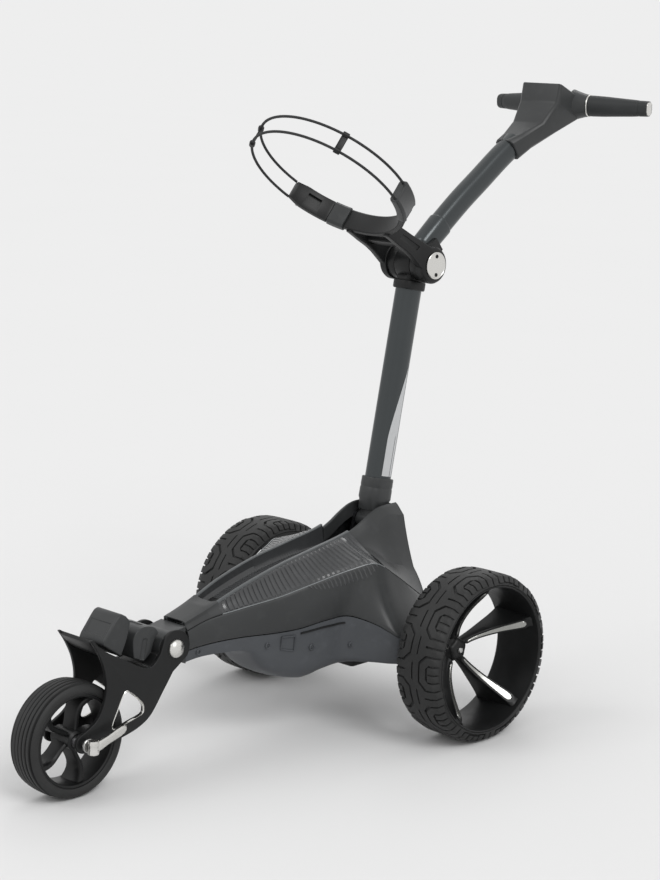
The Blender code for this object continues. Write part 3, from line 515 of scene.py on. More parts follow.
def braided(name, colour):
    """Elastic cord with a woven sheath: two crossing sets of fine ribs."""
    graph = Graph(name)
    ribs = []
    for turn in (0.9, -0.9):
        place = graph.node("ShaderNodeMapping", {}, {"Vector": graph.place, "Rotation": (turn, 0.4, turn)})
        ribs.append(graph.node("ShaderNodeTexWave", {"wave_type": "BANDS"},
                               {"Vector": place, "Scale": 330.0, "Distortion": 0.6}, output=1))
    weave = ribs[0] * ribs[1]
    cloud = graph.noise(40.0, 3.0)
    pale = tuple(channel * 1.5 for channel in colour)
    graph.paint(Base_Color=graph.tint(clamped(weave * 0.7 + cloud * 0.3), colour, pale), Roughness=0.72 - weave * 0.15)
    graph.bump(weave, 0.00012)
    return graph.material


def window_glass(name):
    """The screen's gloss window, with the faint greenish tone of a switched-off display."""
    graph = Graph(name)
    smear = graph.noise(30.0, 4.0)
    graph.paint(Base_Color=graph.tint(smear, (0.006, 0.008, 0.009), (0.014, 0.018, 0.018)),
                Roughness=0.05 + smear * 0.09, Coat_Weight=1.0, Coat_Roughness=0.04)
    return graph.material


FINISH = {}


def mix_finishes(colours):
    """One material for each of the record's slots, and a few for trims that share a slot."""
    FINISH.update({
        "black_plastic": moulded("satin_black_plastic", colours.black, 0.42),
        "charcoal_plastic": moulded("charcoal_plastic", colours.charcoal, 0.38, coat=0.05),
        "casing_plastic": moulded("blue_grey_casing", colours.casing, 0.46),
        "carbon_trim": moulded("ribbed_gloss_trim", colours.trim, 0.22, 2200.0, 0.00002, coat=0.6),
        # The edge beads' pale grey is a painted highlight on the chamfer along the body's upper edge.
        "edge_line": moulded("light_edge_line", (0.16, 0.17, 0.175), 0.28, 2200.0, 0.00002, coat=0.3),
        # The crest rails' light grey is a painted highlight on the ridge tops beside the channel.
        "crest_grey": moulded("light_crest_rail", (0.075, 0.080, 0.083), 0.34, 1800.0, 0.00003),
        "tyre_rubber": rubber("tyre_rubber", colours.rubber, 0.55),
        "soft_rubber": rubber("grip_rubber", (0.020, 0.0215, 0.022), 0.55, 0.2),
        "graphite_metal": lacquered("graphite_lacquer", colours.graphite, 0.30, 0.75),
        "satin_metal": brushed("satin_silver", colours.silver, 0.24),
        "steel": brushed("machined_steel", (0.46, 0.46, 0.47), 0.30),
        "dark_metal": lacquered("dark_anodised", (0.05, 0.05, 0.055), 0.40, 0.9, 1400.0),
        "screen_glass": window_glass("screen_window"),
        "strap_cord": braided("braided_cord", (0.010, 0.0105, 0.011)),
        "silver_sticker": brushed("pale_silver_film", (0.66, 0.67, 0.68), 0.34, (1.0, 1.0, 1.0), 300.0),
        "strip_metal": brushed("dark_silver_strip", (0.42, 0.42, 0.40), 0.26),
        "pin_metal": brushed("pin_silver", (0.55, 0.55, 0.54), 0.30),
    })
    for node, thing in NODES.items():
        thing.data.materials.clear()
        thing.data.materials.append(FINISH[SLOT_OF[node]])


# Stage

def soft_light(name, towards, strength, spread_angle):
    """A large soft light that shines from one direction, and how much of it the floor takes."""
    turn = Vector(towards).to_track_quat("Z", "Y").to_euler()
    bpy.ops.object.light_add(type="SUN", location=towards, rotation=turn)
    lamp = bpy.context.active_object
    lamp.name = name
    lamp.data.energy = strength
    lamp.data.angle = spread_angle
    return strength * Vector(towards).normalized().z / math.pi


def set_camera(sizes):
    """The camera, from its place, its heading, its dip and its roll."""
    heading = sizes.camera_heading
    dip = sizes.camera_dip
    roll = sizes.camera_roll
    back = Vector((math.sin(heading) * math.cos(dip), -math.cos(heading) * math.cos(dip), math.sin(dip)))
    right = Vector((math.cos(heading), math.sin(heading), 0.0))
    up = back.cross(right)
    across = right * math.cos(roll) + up * math.sin(roll)
    upright = up * math.cos(roll) - right * math.sin(roll)
    turn = Matrix((across, upright, back)).transposed().to_4x4()
    bpy.ops.object.camera_add()
    camera = bpy.context.active_object
    camera.name = "camera"
    camera.matrix_world = Matrix.Translation(sizes.camera_place) @ turn
    camera.data.lens = sizes.camera_lens
    camera.data.clip_end = 4000.0
    bpy.context.scene.camera = camera


def match_floor(tone):
    """Paint the floor so that, lit, it is as bright as the surround."""
    graph = Graph("studio_floor")
    cloud = graph.noise(1.5, 2.0)
    graph.paint(Base_Color=graph.tint(cloud, (tone * 0.995,) * 3, (tone * 1.005,) * 3),
                Roughness=0.92 + cloud * 0.05, Specular_IOR_Level=0.0)
    FINISH["floor"] = graph.material
    bpy.data.objects["studio_floor"].data.materials.append(graph.material)


def build_stage(sizes):
    """A wide pale floor, a pale surround and soft studio lights."""
    bpy.ops.object.select_all(action="DESELECT")
    bpy.ops.mesh.primitive_grid_add(x_subdivisions=8, y_subdivisions=8, size=1600.0)
    floor = bpy.context.active_object
    floor.name = "studio_floor"
    world = bpy.context.scene.world or bpy.data.worlds.new("studio")
    bpy.context.scene.world = world
    world.use_nodes = True
    world.node_tree.nodes["Background"].inputs["Color"].default_value = (1.0, 1.0, 1.0, 1.0)
    world.node_tree.nodes["Background"].inputs["Strength"].default_value = sizes.surround
    taken = soft_light("key_light", (2.2, -0.5, 2.2), sizes.key_light, math.radians(26.0))
    taken += soft_light("front_light", (-1.2, -2.6, 2.6), sizes.front_light, math.radians(30.0))
    taken += soft_light("rim_light", (-1.6, 2.2, 2.4), sizes.rim_light, math.radians(24.0))
    match_floor(sizes.floor_tone / (sizes.surround + taken))
    set_camera(sizes)
    bpy.context.scene.view_settings.view_transform = "Standard"


# Rear wheels

TYRE_MIDDLE = (TYRE_IN + TYRE_OUT) / 2.0
TYRE_WALL = 0.0180
LUG = 0.0036

# The carcass under the lugs: distance across from the middle, drop below the tread, lean of the surface
CARCASS = [(0.0, 0.0, 0.0), (0.0200, 0.0001, 2.0), (0.0330, 0.0006, 10.0), (0.0380, 0.0020, 38.0),
           (0.0409, 0.0050, 66.0), (0.0423, 0.0095, 82.0)]


def carcass_at(over):
    """The carcass at a distance along its surface from the middle: across, drop and lean."""
    walked = 0.0
    side = -1.0 if over < 0.0 else 1.0
    over = abs(over)
    for before, after in zip(CARCASS, CARCASS[1:]):
        step = math.hypot(after[0] - before[0], after[1] - before[1])
        if over <= walked + step or after is CARCASS[-1]:
            t = (over - walked) / step
            across, drop, lean = (a + (b - a) * t for a, b in zip(before, after))
            return side * across, drop, side * math.radians(lean)
        walked += step


def tread_point(around, over, height):
    """A place on the tread: distance round the wheel, distance over the surface, height above it."""
    across, drop, lean = carcass_at(over)
    radius = REAR_RADIUS - LUG - drop + height * math.cos(lean)
    angle = around / REAR_RADIUS
    return Vector((TYRE_MIDDLE + across + height * math.sin(lean),
                   radius * math.cos(angle), REAR_HUB.z + radius * math.sin(angle)))


def ribbon(path, width):
    """The two edges of a band along a path of 2-D points, mitred at the turns."""
    edges = []
    for index, point in enumerate(path):
        before = path[max(index - 1, 0)]
        after = path[min(index + 1, len(path) - 1)]
        first = (point - before).normalized() if index else (after - point).normalized()
        last = (after - point).normalized() if index < len(path) - 1 else first
        normal = Vector((-first.y - last.y, first.x + last.x)).normalized()
        reach = width / 2.0 / max(normal.dot(Vector((-first.y, first.x))), 0.5)
        edges.append((point + normal * reach, point - normal * reach))
    return edges


def finer(path, step):
    """The path with points added, so that no stretch is longer than a step."""
    found = [path[0]]
    for before, after in zip(path, path[1:]):
        count = max(1, math.ceil((after - before).length / step))
        found += [before.lerp(after, k / count) for k in range(1, count + 1)]
    return found


def lug_bar(path, width):
    """A raised bar of rubber along a path on the tread, with drafted sides."""
    draft = 0.0007
    rings = []
    for (left, right), (left_top, right_top) in zip(ribbon(path, width), ribbon(path, width - 2.0 * draft)):
        rings.append([tread_point(left.x, left.y, -0.0010), tread_point(left_top.x, left_top.y, LUG),
                      tread_point(right_top.x, right_top.y, LUG), tread_point(right.x, right.y, -0.0010)])
    return loft("lug", rings)


def tread_pitch(sizes):
    """One pitch of one side's lugs: nested half hexagons that open to the shoulder."""
    pitch = math.tau * REAR_RADIUS / sizes.tread_pitches
    groove = sizes.tread_groove
    width = (pitch / 2.0 - groove * 2.5) / 3.0
    step = width + groove
    shoulder = 0.0505
    wander = 0.0045
    lugs = []
    for count in range(2):
        half = pitch / 2.0 - groove / 2.0 - width / 2.0 - count * step
        near = -wander + groove / 2.0 + width / 2.0 + count * step
        corner = 0.0170 - 0.0070 * count
        end = shoulder - 0.0030 * count
        path = [Vector(point) for point in (
            (-half, end), (-half, near + corner), (-half + corner, near),
            (half - corner, near), (half, near + corner), (half, end))]
        lugs.append(lug_bar(finer(path, 0.012), width))
    inner = -wander + groove / 2.0 + 2.0 * step
    half = pitch / 2.0 - groove / 2.0 - 2.0 * step
    for side in (1.0, -1.0):
        path = [Vector((side * half * 0.52, inner + 0.0015)), Vector((side * half * 0.52, (inner + shoulder) / 2.0)),
                Vector((side * half * 0.52, shoulder - 0.0045))]
        lugs.append(lug_bar(path, half * 0.96 - groove * 0.4))
    low = wander + groove / 2.0
    reach = 0.0150
    rings = []
    for count in range(5):
        along = -reach + 2.0 * reach * count / 4.0
        top = low + 0.0008 + (reach - abs(along)) * 0.95
        rings.append([tread_point(along + pitch / 2.0, low, -0.0010), tread_point(along + pitch / 2.0, low, LUG),
                      tread_point(along + pitch / 2.0, top, LUG), tread_point(along + pitch / 2.0, top, -0.0010)])
    lugs.append(loft("filler_lug", rings))
    return rounded(joined("tread_pitch", lugs), 0.0005, 1)


def build_rear_tyres(sizes):
    """Both rear tyres: a spun carcass under rows of raised lugs."""
    base = REAR_RADIUS - LUG
    half = [(base - drop, across) for across, drop, _ in CARCASS]
    bead = REAR_RADIUS - TYRE_WALL
    half += [(base - 0.0120, 0.0455), (bead + 0.0015, 0.0462), (bead, 0.0445)]
    profile = [(radius, TYRE_MIDDLE - across) for radius, across in reversed(half)]
    profile += [(radius, TYRE_MIDDLE + across) for radius, across in half[1:]]
    carcass = turned("carcass", profile, REAR_HUB, steps=120)
    pitch = tread_pitch(sizes)
    far_side = Matrix.Translation((TYRE_MIDDLE, 0.0, 0.0)) @ MIRROR @ Matrix.Translation((-TYRE_MIDDLE, 0.0, 0.0))
    turn = math.tau / sizes.tread_pitches
    lugs = []
    for count in range(sizes.tread_pitches):
        lugs.append(copied(pitch, about(REAR_HUB, X, turn * count)))
        lugs.append(copied(pitch, about(REAR_HUB, X, turn * (count + 0.5)) @ far_side))
    bpy.data.objects.remove(pitch, do_unlink=True)
    left = joined("left_tyre_with_lugs", [*lugs, carcass])
    right = copied(left, MIRROR, "right_tyre_with_lugs")
    in_place_of(left, "left_tyre")
    in_place_of(right, "right_tyre")


SPOKE_START = math.radians(20.0)
# A rear spoke's stations: radius, inboard edge, outboard edge, half thickness
SPOKE_LINE = [(0.010, 0.2020, 0.2140, 0.0085), (0.028, 0.2030, 0.2165, 0.0075), (0.045, 0.2050, 0.2230, 0.0078),
              (0.062, 0.2062, 0.2335, 0.0085), (0.080, 0.2080, 0.2480, 0.0095), (0.100, 0.2100, 0.2680, 0.0112),
              (0.1185, 0.2120, 0.2860, 0.0150)]
STRIP_START = 0.026
STRIP_END = 0.1110


def spoke_ring(hub, angle, radius, low, high, thickness, edge):
    """A spoke's section: a blade that narrows to its outer edge, with rounded corners."""
    outwards = Vector((0.0, math.cos(angle), math.sin(angle)))
    aside = Vector((0.0, -math.sin(angle), math.cos(angle)))
    middle = hub + outwards * radius
    front = thickness * edge
    corner = min(0.0025, front * 0.6)
    half = [(low, thickness), (low + (high - low) * 0.55, thickness * 0.80 + front * 0.20),
            (high - corner, front), (high, front - corner)]
    return [middle + X * x + aside * y for x, y in half] + [middle + X * x - aside * y for x, y in half[::-1]]


def strip_band(angle, narrow, wide, low, high, start, end):
    """A flat band on a spoke's sloping outboard edge, wider towards the rim, with round ends."""
    rings = []
    outwards = Vector((0.0, math.cos(angle), math.sin(angle)))
    aside = Vector((0.0, -math.sin(angle), math.cos(angle)))
    outer_line = [(station[0], station[2]) for station in SPOKE_LINE]
    for radius in [start + (end - start) * (1.0 - math.cos(math.pi * k / 18)) / 2.0 for k in range(19)]:
        x = eased(outer_line, radius)[0]
        slope = (eased(outer_line, radius + 0.001)[0] - x) / 0.001
        normal = (X - outwards * slope).normalized()
        half_width = narrow + (wide - narrow) * ((radius - start) / (end - start)) ** 1.4
        near = min(radius - start, end - radius) / half_width
        width = half_width * math.sqrt(max(0.02, 1.0 - max(0.0, 1.0 - near) ** 2))
        middle = REAR_HUB + outwards * radius + X * x
        rings.append([middle + aside * width + normal * low, middle + aside * width + normal * high,
                      middle - aside * width + normal * high, middle - aside * width + normal * low])
    return loft("band", rings)


def build_rear_rims(sizes):
    """Both rear rims: barrel, five sloping spokes with silver strips, and a lobed hub."""
    bead = REAR_RADIUS - TYRE_WALL - 0.0003
    low = TYRE_IN + 0.0020
    high = TYRE_OUT - 0.0020
    profile = [(bead, low), (bead, high), (bead - 0.0014, high + 0.0008), (bead - 0.0030, high - 0.0004),
               (bead - 0.0042, high - 0.0060), (bead - 0.0068, high - 0.0300), (bead - 0.0086, low + 0.0300),
               (bead - 0.0078, low + 0.0040), (bead - 0.0050, low)]
    pieces = [turned("barrel", profile, REAR_HUB, steps=120)]
    for count in range(SPOKES):
        angle = SPOKE_START + count * math.tau / SPOKES
        rings = []
        for radius in spread(SPOKE_LINE[0][0], SPOKE_LINE[-1][0], 14):
            inner, outer, thickness = eased(SPOKE_LINE, radius)
            rings.append(spoke_ring(REAR_HUB, angle, radius, inner, outer, thickness, 0.62))
        pieces.append(loft("spoke", rings))
        pieces.append(strip_band(angle, 0.0040, 0.0092, -0.0015, 0.0010, STRIP_START - 0.004, STRIP_END + 0.0045))
    rings = []
    for x, size in ((0.1995, 0.0185), (0.2060, 0.0200), (0.2150, 0.0195), (0.2185, 0.0180), (0.2210, 0.0150),
                    (0.2222, 0.0110)):
        lobed = []
        for step in range(80):
            angle = math.tau * step / 80.0
            radius = size * (1.0 + 0.07 * math.cos(SPOKES * (angle - SPOKE_START)))
            lobed.append(REAR_HUB + Vector((x, radius * math.cos(angle), radius * math.sin(angle))))
        rings.append(lobed)
    pieces.append(loft("hub", rings))
    left = joined("left_rim_casting", pieces)
    strips = []
    for count in range(SPOKES):
        angle = SPOKE_START + count * math.tau / SPOKES
        strips.append(rounded(strip_band(angle, 0.0014, 0.0062, 0.0002, 0.0018, STRIP_START, STRIP_END), 0.0004, 1))
    pin = turned("pin", [(0.0, 0.2200), (0.0050, 0.2200), (0.0052, 0.2245), (0.0040, 0.2262), (0.0, 0.2270)],
                 REAR_HUB, steps=40)
    left_strips = joined("left_rim_strips", strips)
    for side, _ in SIDES:
        made = (left, left_strips, pin)
        if side == "right":
            made = [copied(piece, MIRROR) for piece in made]
        names = (f"{side}_rim_casting", f"{side}_rim_strips", f"{side}_hub_pin")
        ready = list(zip(made, names))
        if side == "left":
            kept = ready
            continue
        for piece, name in kept + ready:
            piece.name = name
        for piece, name in kept + ready:
            wheel = name.split("_")[0] + "_wheel"
            if name.endswith("casting"):
                in_place_of(piece, name.replace("_casting", ""))
            elif name.endswith("strips"):
                finished(piece, wheel, FINISH["strip_metal"])
            else:
                finished(piece, wheel, FINISH["pin_metal"])


# Front wheel

def build_front_wheel(sizes):
    """The front tyre with its ribs, and the rim with curved spokes."""
    low, high = (corner.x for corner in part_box("front_tyre"))
    wall = 0.0170
    bead = FRONT_RADIUS - wall
    count = sizes.front_ribs
    edge = 0.0085
    profile = [(bead, low + 0.0030), (bead + 0.0030, low + 0.0012), (FRONT_RADIUS - 0.0090, low),
               (FRONT_RADIUS - 0.0050, low + 0.0015), (FRONT_RADIUS - 0.0022, low + 0.0042)]
    step = (high - low - 2.0 * edge) / count
    for index in range(count):
        start = low + edge + step * index
        crown = 0.0016 * (2.0 * (index + 0.5) / count - 1.0) ** 2
        top = FRONT_RADIUS - crown
        groove = FRONT_RADIUS - 0.0032 - crown
        profile += [(groove, start - 0.0004), (groove, start + 0.0006), (top - 0.0004, start + 0.0012),
                    (top, start + 0.0022), (top, start + step - 0.0022), (top - 0.0004, start + step - 0.0012)]
    profile += [(FRONT_RADIUS - 0.0048, high - edge - 0.0004), (FRONT_RADIUS - 0.0048, high - edge + 0.0006),
                (FRONT_RADIUS - 0.0022, high - 0.0042), (FRONT_RADIUS - 0.0050, high - 0.0015),
                (FRONT_RADIUS - 0.0090, high), (bead + 0.0030, high - 0.0012), (bead, high - 0.0030)]
    tyre = turned("ribbed_front_tyre", profile, FRONT_HUB, steps=120)
    in_place_of(tyre, "front_tyre")
    outer = bead - 0.0003
    profile = [(outer, low + 0.0035), (outer, high - 0.0035), (outer - 0.0020, high - 0.0025),
               (outer - 0.0048, high - 0.0040), (outer - 0.0056, high - 0.0080), (outer - 0.0060, 0.0),
               (outer - 0.0056, low + 0.0080), (outer - 0.0048, low + 0.0040), (outer - 0.0020, low + 0.0025)]
    pieces = [turned("front_barrel", profile, FRONT_HUB, steps=96)]
    for index in range(SPOKES):
        start = math.radians(60.0) + index * math.tau / SPOKES
        rings = []
        for step_at in range(11):
            radius = 0.0120 + (outer - 0.0035 - 0.0120) * step_at / 10.0
            t = step_at / 10.0
            angle = start + 0.22 * math.sin(math.pi * t)
            half = 0.0150 - 0.0040 * math.sin(math.pi * t) + 0.0055 * t
            thickness = 0.0052 + 0.0042 * t ** 3
            rings.append(spoke_ring(FRONT_HUB, angle, radius, -half, half, thickness, 0.75))
        pieces.append(loft("front_spoke", rings))
    hub = [(0.0107, -0.0240), (0.0125, -0.0245), (0.0160, -0.0215), (0.0150, -0.0120), (0.0150, 0.0120),
           (0.0160, 0.0215), (0.0125, 0.0245), (0.0107, 0.0240)]
    pieces.append(turned("front_hub", hub, FRONT_HUB, steps=64))
    in_place_of(joined("front_rim_casting", pieces), "front_rim")


# Body

CREST = [(-0.470, 0.0180, 0.2290), (-0.400, 0.0200, 0.2490), (-0.320, 0.0260, 0.2770),
         (-0.240, 0.0285, 0.2980), (-0.160, 0.0285, 0.3120), (-0.080, 0.0290, 0.3270),
         (0.000, 0.0340, 0.3560), (0.045, 0.0400, 0.3560)]
CHANNEL = [(-0.470, 0.2200), (-0.400, 0.2340), (-0.320, 0.2570), (-0.240, 0.2760),
           (-0.160, 0.2880), (-0.080, 0.2940), (0.045, 0.2960)]
EDGE = [(-0.470, 0.0300, 0.2160), (-0.400, 0.0350, 0.2360), (-0.340, 0.0480, 0.2450),
        (-0.267, 0.0640, 0.2540), (-0.214, 0.0800, 0.2670), (-0.144, 0.1030, 0.2845),
        (-0.098, 0.1190, 0.2900), (-0.050, 0.1180, 0.2620), (0.000, 0.1120, 0.2280),
        (0.045, 0.0980, 0.2000)]
SEAM = [(-0.470, 0.0300, 0.1890), (-0.400, 0.0345, 0.1940), (-0.341, 0.0480, 0.1960),
        (-0.276, 0.0620, 0.1930), (-0.231, 0.0740, 0.1940), (-0.178, 0.0910, 0.2030),
        (-0.143, 0.1050, 0.2050), (-0.118, 0.1430, 0.1930), (-0.095, 0.1800, 0.1720),
        (0.000, 0.1880, 0.1620), (0.045, 0.1800, 0.1580)]
UNDER = [(-0.470, 0.1670), (-0.400, 0.1740), (-0.300, 0.1680), (-0.240, 0.1480),
         (-0.178, 0.1380), (-0.120, 0.1320), (-0.060, 0.1260), (0.045, 0.1240)]
BELLY = [(-0.470, 0.1650), (-0.400, 0.1720), (-0.320, 0.1580), (-0.278, 0.1190), (-0.213, 0.0960),
         (-0.173, 0.1050), (-0.126, 0.1150), (-0.085, 0.1150), (-0.050, 0.1110), (0.045, 0.1080)]
NOSE_Y = -0.440
CAP_END = -0.372
TRIM_END = -0.078
BODY_END = 0.044


def curve_through(start, bend, end, steps):
    """Points on a smooth curve from one point to another, pulled towards a third."""
    found = []
    for t in spread(0.0, 1.0, steps):
        found.append(start * (1.0 - t) ** 2 + bend * (2.0 * t * (1.0 - t)) + end * t * t)
    return found


def thickened(outer, wall):
    """A 2-D outline that runs along a wall's outer face and back along its inner face."""
    inner = []
    last = len(outer) - 1
    for index, point in enumerate(outer):
        along = (outer[min(index + 1, last)] - outer[max(index - 1, 0)]).normalized()
        inner.append(point + Vector((along.y, -along.x)) * wall)
    return outer + inner[::-1]


def wall_along(name, stations, outline, wall):
    """A moulded wall lofted along the body from its outline at each station."""
    rings = []
    for y in stations:
        rings.append([Vector((p.x, y, p.y)) for p in thickened(outline(y), wall)])
    return loft(name, rings)


def mirrored_outline(outline):
    """The outline with its other half: from the right side over the middle to the left."""
    def whole(y):
        half = outline(y)
        return [Vector((-p.x, p.y)) for p in half[:0:-1]] + half
    return whole


def mark(line, y):
    return Vector(eased(line, y))


def side_outline(y):
    """The side panel's section, from its upper edge over the flank to the seam."""
    top = mark(EDGE, y)
    seam = mark(SEAM, y)
    flare = min(max((y + 0.150) / 0.06, 0.0), 1.0)
    bulge = 0.004 * (1.0 - flare) - 0.012 * flare
    middle = (top + seam) / 2.0 + Vector((bulge, bulge * 0.4))
    bend = middle * 2.0 - (top + seam) / 2.0
    points = curve_through(top, bend, seam, 10)
    across = (points[1] - points[0]).normalized()
    inwards = Vector((across.y, -across.x))
    points[0] = points[0] + across * 0.0006 + inwards * 0.0010
    points.insert(1, points[0] + across * 0.0014 - inwards * 0.0010)
    back = (points[-2] - points[-1]).normalized()
    lift = Vector((-back.y, back.x))
    points[-1] = points[-1] + back * 0.0007 + lift * 0.0012
    points.insert(-1, points[-1] + back * 0.0018 - lift * 0.0012)
    return points


def trim_outline(raised):
    """The trim's section between the crest and the side panel, on or between its ribs."""
    def outline(y):
        crest = mark(CREST, y) + Vector((0.0066, -0.0012))
        edge = mark(EDGE, y)
        across = (edge - crest).normalized()
        out = Vector((-across.y, across.x))
        start = crest + across * 0.0004
        end = edge - across * 0.0006
        sag = 0.0020
        points = []
        for t in (0.0, 0.04, 0.08, 0.2, 0.35, 0.5, 0.65, 0.8, 0.90, 0.95, 1.0):
            inset = 0.0 if t < 0.06 or t > 0.94 else raised(y)
            points.append(start.lerp(end, t) + out * (-sag * math.sin(math.pi * t) - 0.0008 + inset))
        return points
    return outline


def rib_stations(low, high, pitch):
    """Stations for ribs across the trolley, and which of them are on a rib."""
    count = int((high - low) / pitch)
    pitch = (high - low) / count
    stations = []
    tops = {}
    for index in range(count):
        start = low + index * pitch
        for share, on in ((0.0, False), (0.34, False), (0.44, True), (0.90, True)):
            stations.append(start + share * pitch)
            tops[stations[-1]] = on
    stations.append(high)
    tops[high] = False
    return stations, tops


def build_trims(sizes):
    """The ribbed trims on both sides of the channel, and their thin edge beads, painted pale as a highlight along the
    upper edge.
    """
    stations, tops = rib_stations(NOSE_Y, TRIM_END, sizes.rib_pitch)

    def raised(y):
        fade = min(max((TRIM_END - 0.006 - y) / 0.02, 0.0), 1.0) * min(max((y - CAP_END) / 0.010, 0.0), 1.0)
        return 0.0019 * fade if tops[y] else 0.0

    left = wall_along("left_ribbed_trim", stations, trim_outline(raised), 0.0022)
    right = copied(left, MIRROR, "right_ribbed_trim")
    in_place_of(left, "left_carbon_trim", smooth=25.0)
    in_place_of(right, "right_carbon_trim", smooth=25.0)

    def line(y):
        edge = mark(EDGE, y)
        crest = mark(CREST, y)
        across = (edge - crest).normalized()
        out = Vector((-across.y, across.x))
        middle = edge - across * 0.0002 - out * 0.0006
        return [middle - across * 0.0009 + out * 0.0004, middle + out * 0.0011,
                middle + across * 0.0009 + out * 0.0004]

    # A thin bead along the upper edge, painted pale grey: a painted highlight on the edge's chamfer.
    left = wall_along("left_trim_edge", spread(CAP_END, TRIM_END, 60), line, 0.0012)
    right = copied(left, MIRROR, "right_trim_edge")
    finished(left, "chassis", FINISH["edge_line"])
    finished(right, "chassis", FINISH["edge_line"])


def build_channel(sizes):
    """The long channel that the mast folds into: ribbed floor and crest rails, painted light grey as a highlight on
    the ridge tops.
    """
    stations, tops = rib_stations(NOSE_Y, TRIM_END, sizes.rib_pitch * 0.6)

    def outline(y):
        crest = mark(CREST, y)
        floor = eased(CHANNEL, y)[0]
        rise = 0.0008 if tops[y] else 0.0
        wide = crest.x - 0.0030
        return [Vector((0.0, floor + rise)), Vector((wide * 0.45, floor + rise)),
                Vector((wide * 0.86, floor + rise)), Vector((wide * 0.95, floor + 0.0020)),
                Vector((crest.x - 0.0012, floor + (crest.y - floor) * 0.35)),
                Vector((crest.x - 0.0004, crest.y - 0.0022))]

    liner = wall_along("ribbed_channel", stations, mirrored_outline(outline), 0.0020)
    in_place_of(liner, "channel_liner", smooth=25.0)

    def rail(y):
        crest = mark(CREST, y)
        return [crest + Vector(shift) for shift in (
            (-0.0004, -0.0018), (0.0002, -0.0004), (0.0012, 0.0002), (0.0048, 0.0),
            (0.0060, -0.0006), (0.0066, -0.0026))]

    # The rails along the ridge tops are painted light grey: a painted highlight.
    left = wall_along("left_crest_rail", spread(NOSE_Y, TRIM_END, 60), rail, 0.0016)
    right = copied(left, MIRROR, "right_crest_rail")
    finished(left, "chassis", FINISH["crest_grey"])
    finished(right, "chassis", FINISH["crest_grey"])
    build_nose_cap()


def cap_outline(y):
    """The smooth cap over the channel's front, which blends down into its mouth."""
    crest = mark(CREST, y)
    edge = mark(EDGE, y)
    across = (edge - crest).normalized()
    out = Vector((-across.y, across.x))
    mouth = min(max((y - CAP_END + 0.020) / 0.020, 0.0), 1.0)
    top = crest.y + 0.0016 - 0.0040 * mouth
    return [Vector((0.0, top)), Vector((crest.x * 0.6, top)), Vector((crest.x + 0.0020, crest.y + 0.0012)),
            crest + Vector((0.0070, -0.0004)) + out * 0.0004, crest.lerp(edge, 0.5) + out * 0.0012,
            edge - across * 0.0016 + out * 0.0012, edge - across * 0.0004 + out * 0.0002]


def build_nose_cap():
    """The charcoal cap over the channel's front end, and a thin black slab behind it, painted as the shade in the
    channel's mouth.
    """
    cap = wall_along("nose_cap", spread(NOSE_Y, CAP_END, 20), mirrored_outline(cap_outline), 0.0014)
    finished(cap, "chassis", FINISH["charcoal_plastic"])
    # A thin black slab on the channel floor at the cap's end: painted shade in the mouth under the cap.
    low = eased(CHANNEL, CAP_END + 0.014)[0]
    mouth = rounded(cube("channel_mouth", (0.0, CAP_END + 0.016, low + 0.0016), (0.0340, 0.0300, 0.0020),
                         math.radians(15.0)), 0.0006, 2)
    finished(mouth, "chassis", FINISH["black_plastic"])


def surface_place(y, share):
    """A point of the flank at a share of the way down, and the direction outwards."""
    points = side_outline(y)
    at = share * (len(points) - 1)
    index = min(int(at), len(points) - 2)
    point = points[index].lerp(points[index + 1], at - index)
    along = (points[index + 1] - points[index]).normalized()
    return Vector((point.x, y, point.y)), Vector((-along.y, 0.0, along.x))


def build_side_panels(sizes):
    """The body's two flanks, and the patch of slanted ribs near each upper edge."""
    stations = spread(NOSE_Y, BODY_END, 76)
    left = wall_along("left_flank", stations, side_outline, 0.0022)
    right = copied(left, MIRROR, "right_flank")
    in_place_of(left, "left_side_panel")
    in_place_of(right, "right_side_panel")
    bars = []
    for index in range(17):
        y = -0.218 + 0.0072 * index
        reach = 0.30 * math.sin(math.pi * min(1.0, (index + 1.5) / 18.0)) ** 0.6
        ends = [surface_place(y + 0.0075 * share, 0.035 + reach * share) for share in (0.0, 0.5, 1.0)]
        rings = []
        for point, out in ends:
            rings.append([point + Vector((0.0, -0.0018, 0.0)) - out * 0.0004,
                          point + Vector((0.0, -0.0010, 0.0)) + out * 0.0009,
                          point + Vector((0.0, 0.0010, 0.0)) + out * 0.0009,
                          point + Vector((0.0, 0.0018, 0.0)) - out * 0.0004])
        bars.append(loft("slanted_rib", rings))
    left = joined("left_slanted_ribs", bars)
    right = copied(left, MIRROR, "right_slanted_ribs")
    finished(left, "chassis", FINISH["carbon_trim"])
    finished(right, "chassis", FINISH["carbon_trim"])


def casing_outline(y):
    """The lower casing's section, from the middle of the belly out to the seam."""
    seam = mark(SEAM, y)
    under = Vector((seam.x - 0.0070, eased(UNDER, y)[0]))
    belly = eased(BELLY, y)[0]
    low = Vector((seam.x * 0.55, belly + 0.0040))
    ledge = seam + Vector((-0.0022, -0.0010))
    turn = curve_through(under, Vector((under.x - 0.0020, low.y + 0.0030)), low, 7)
    across = (ledge - under)
    return ([Vector((0.0, belly)), Vector((low.x * 0.5, belly + 0.0008))] + turn[::-1]
            + [under + across * 0.30, under + across * 0.70, ledge + Vector((0.0, -0.0012)), ledge])


